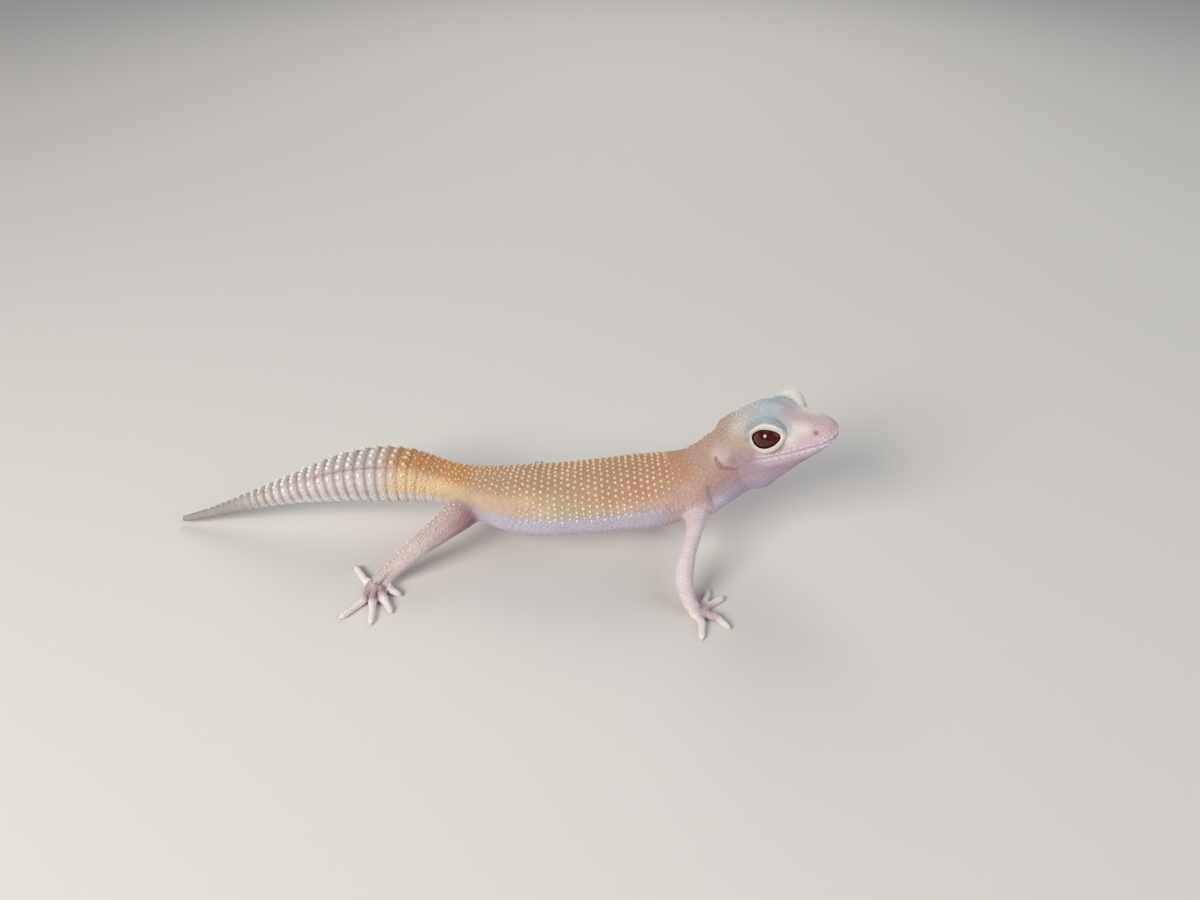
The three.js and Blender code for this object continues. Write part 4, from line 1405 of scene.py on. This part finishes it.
def makeClaws(node):
    made = []
    for tip, out in toeTips(node):
        out = unit(out * np.array([1, 1, 0.2]))
        bpy.ops.mesh.primitive_cone_add(vertices=12, radius1=claw["radius"] * mm, radius2=claw["end"] * mm,
                                        depth=claw["long"] * mm, end_fill_type="NGON")
        one = bpy.context.object
        local = coordsOf(one.data) / mm
        share = local[:, 2] / claw["long"] + 0.5
        side = np.cross(out, [0, 0, 1.0])
        over = np.cross(side, out)
        base = tip / mm - out * (claw["long"] * 0.8)
        placed = (base + local[:, :1] * side + local[:, 1:2] * over + (share * claw["long"])[:, None] * out
                  - (claw["drop"] * share ** 2)[:, None] * np.array([0, 0, 1.0]))
        placed[:, 2] = np.maximum(placed[:, 2], 0.02)
        setCoords(one.data, placed * mm)
        made.append(one)
    pick(*made)
    bpy.ops.object.join()
    piece = bpy.context.view_layer.objects.active
    piece.name = f"claws_{node}"
    pick(piece)
    bpy.ops.object.shade_smooth_by_angle(angle=math.radians(50))
    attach(piece, "root")
    return piece


claws = [makeClaws(node) for nodes in limbNodes.values() for node in nodes[2:]]
report("eyes and claws made")


# Materials

hideLook = {
    "blotches": {"Scale": 260, "Detail": 4},
    "shade": {"From Min": 0.3, "From Max": 0.7, "To Min": 0.93, "To Max": 1.06},
    "rough": {"From Min": 0.3, "From Max": 0.7, "To Min": 0.4, "To Max": 0.56},
    "seam": 0.16,        # width of the seams between the finest scales
    "seamShade": 0.97,
    "reliefDepth": 0.05 * mm,
    "flesh": {"Subsurface Weight": 0.12, "Subsurface Radius": (1.0, 0.45, 0.35),
              "Subsurface Scale": 1.2 * mm, "Specular IOR Level": 0.42},
}
eyeLook = {"Roughness": 0.12, "Coat Weight": 0.7, "Coat Roughness": 0.03, "Specular IOR Level": 0.25}


def newMaterial(name, values):
    material = bpy.data.materials.new(name)
    material.use_nodes = True
    shader = material.node_tree.nodes["Principled BSDF"]
    for key, value in values.items():
        shader.inputs[key].default_value = value
    return material, material.node_tree, shader


def hideGroup():
    group = bpy.data.node_groups.new("gecko hide", "ShaderNodeTree")
    for name, way, kind in (("Paint", "INPUT", "Color"), ("Grain", "INPUT", "Float"),
                            ("Relief", "INPUT", "Float"), ("Colour", "OUTPUT", "Color"),
                            ("Roughness", "OUTPUT", "Float"), ("Normal", "OUTPUT", "Vector")):
        group.interface.new_socket(name, in_out=way, socket_type=f"NodeSocket{kind}")
    start, end = addNode(group, "NodeGroupInput"), addNode(group, "NodeGroupOutput")
    place = addNode(group, "ShaderNodeTexCoord")
    cells = addNode(group, "ShaderNodeTexVoronoi", feature="DISTANCE_TO_EDGE")
    seam = addNode(group, "ShaderNodeMapRange", {"From Max": hideLook["seam"]})
    blotch = addNode(group, "ShaderNodeTexNoise", hideLook["blotches"])
    shade = addNode(group, "ShaderNodeMapRange", hideLook["shade"])
    dark = addNode(group, "ShaderNodeMapRange", {"To Min": hideLook["seamShade"]})
    both = addNode(group, "ShaderNodeMath", operation="MULTIPLY")
    colour = addNode(group, "ShaderNodeVectorMath", operation="SCALE")
    rough = addNode(group, "ShaderNodeMapRange", hideLook["rough"])
    relief = addNode(group, "ShaderNodeBump", {"Distance": hideLook["reliefDepth"]})
    wire(group,
         (place, "Object", cells, "Vector"), (start, "Grain", cells, "Scale"),
         (cells, "Distance", seam, "Value"), (place, "Object", blotch, "Vector"),
         (blotch, "Fac", shade, "Value"), (seam, "Result", dark, "Value"),
         (shade, "Result", both, 0), (dark, "Result", both, 1),
         (start, "Paint", colour, 0), (both, 0, colour, "Scale"), (colour, 0, end, "Colour"),
         (blotch, "Fac", rough, "Value"), (rough, "Result", end, "Roughness"),
         (start, "Relief", relief, "Strength"), (seam, "Result", relief, "Height"),
         (relief, "Normal", end, "Normal"))
    return group


hideNodes = hideGroup()


def hideMaterial(name, grain, relief):
    material, tree, shader = newMaterial(name, hideLook["flesh"])
    paint = addNode(tree, "ShaderNodeAttribute", attribute_name="paint")
    group = tree.nodes.new("ShaderNodeGroup")
    group.node_tree = hideNodes
    group.inputs["Grain"].default_value = grain
    group.inputs["Relief"].default_value = relief
    wire(tree, (paint, "Color", group, "Paint"), (group, "Colour", shader, "Base Color"),
         (group, "Roughness", shader, "Roughness"), (group, "Normal", shader, "Normal"))
    return material


skin.data.materials.append(hideMaterial("gecko skin", 2900, 0.5))
scaleMaterial = hideMaterial("gecko scales", 5200, 0.12)
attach(skin, "root")
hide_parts(*fleshNodes)
for piece in coat:
    piece.data.materials.append(scaleMaterial)
    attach(piece, "root")


def eyeColour(name):
    return (*linear(eyeball[name]), 1)


def eyeMaterial():
    material, tree, shader = newMaterial("gecko eye", eyeLook)
    start, end = eyeball["pupil"]
    place = addNode(tree, "ShaderNodeAttribute", attribute_name="gazePlace")
    split = addNode(tree, "ShaderNodeSeparateXYZ")
    narrow = addNode(tree, "ShaderNodeMath", {1: eyeball["slit"]}, operation="MULTIPLY")
    joined = addNode(tree, "ShaderNodeCombineXYZ")
    slit = addNode(tree, "ShaderNodeVectorMath", operation="LENGTH")
    pupil = addNode(tree, "ShaderNodeMapRange", {"From Min": start, "From Max": end})
    threads = addNode(tree, "ShaderNodeTexNoise", {"Scale": eyeball["threads"], "Detail": 5})
    iris = addNode(tree, "ShaderNodeMix", {6: eyeColour("iris"), 7: eyeColour("glow")}, data_type="RGBA")
    whole = addNode(tree, "ShaderNodeMix", {6: eyeColour("shadow")}, data_type="RGBA")
    wire(tree,
         (place, "Vector", split, 0), (split, "X", narrow, 0), (narrow, 0, joined, "X"),
         (split, "Y", joined, "Y"), (joined, 0, slit, 0), (slit, "Value", pupil, "Value"),
         (place, "Vector", threads, "Vector"),
         (threads, "Fac", iris, 0), (iris, 2, whole, 7), (pupil, "Result", whole, 0),
         (whole, 2, shader, "Base Color"))
    return material


irisMaterial = eyeMaterial()
for piece in eyes:
    piece.data.materials.append(irisMaterial)
clawMaterial = newMaterial("gecko claw", {"Base Color": (*linear(claw["colour"]), 1), "Roughness": 0.3})[0]
for piece in claws:
    piece.data.materials.append(clawMaterial)
report("materials given")

# Camera, floor and light

studio = {
    "cameraFromHead": (-27.4, -141.0, 105.9),  # millimetres from the head's origin
    "cameraDown": 38.0,
    "lens": 27.0,
    "floorSize": 3.0,
    "floorColour": "#d9d6d1",
    "air": ((0.86, 0.9, 1.0, 1), 0.22),  # colour and strength
    "lampsAim": (0.01, 0.0, 0.012),
}
lamps = {  # place, size, power and colour
    "keyLamp": ((-0.30, -0.34, 0.34), 0.30, 2.75, (1.0, 0.96, 0.9)),
    "fillLamp": ((0.42, -0.18, 0.36), 0.5, 0.85, (0.9, 0.94, 1.0)),
    "backLamp": ((0.05, 0.45, 0.4), 0.4, 1.05, (1.0, 0.98, 0.95)),
}


def makeCamera():
    place = headOrigin + np.array(studio["cameraFromHead"]) * mm
    bpy.ops.object.camera_add(location=place, rotation=(math.radians(90 - studio["cameraDown"]), 0, 0))
    camera = bpy.context.object
    camera.data.lens = studio["lens"]
    camera.data.sensor_width = 36.0
    camera.data.clip_start = 0.005
    bpy.context.scene.camera = camera


def makeLamp(name, place, size, power, colour):
    bpy.ops.object.light_add(type="AREA", location=place)
    lamp = bpy.context.object
    lamp.name = name
    lamp.data.shape = "DISK"
    lamp.data.size = size
    lamp.data.energy = power
    lamp.data.color = colour
    lamp.rotation_euler = (Vector(studio["lampsAim"]) - Vector(place)).to_track_quat("-Z", "Y").to_euler()


def makeFloor():
    bpy.ops.mesh.primitive_plane_add(size=studio["floorSize"], location=(0, 0, 0))
    floor = bpy.context.object
    floor.name = "floor"
    paper = {"Base Color": (*linear(studio["floorColour"]), 1), "Roughness": 0.85}
    floor.data.materials.append(newMaterial("floorPaper", paper)[0])


def makeWorld():
    world = bpy.data.worlds.new("studioAir")
    world.use_nodes = True
    sky = world.node_tree.nodes["Background"]
    sky.inputs["Color"].default_value, sky.inputs["Strength"].default_value = studio["air"]
    bpy.context.scene.world = world


makeCamera()
makeFloor()
makeWorld()
for name, lamp in lamps.items():
    makeLamp(name, *lamp)
bpy.context.scene.view_settings.view_transform = "Standard"
report("studio set")
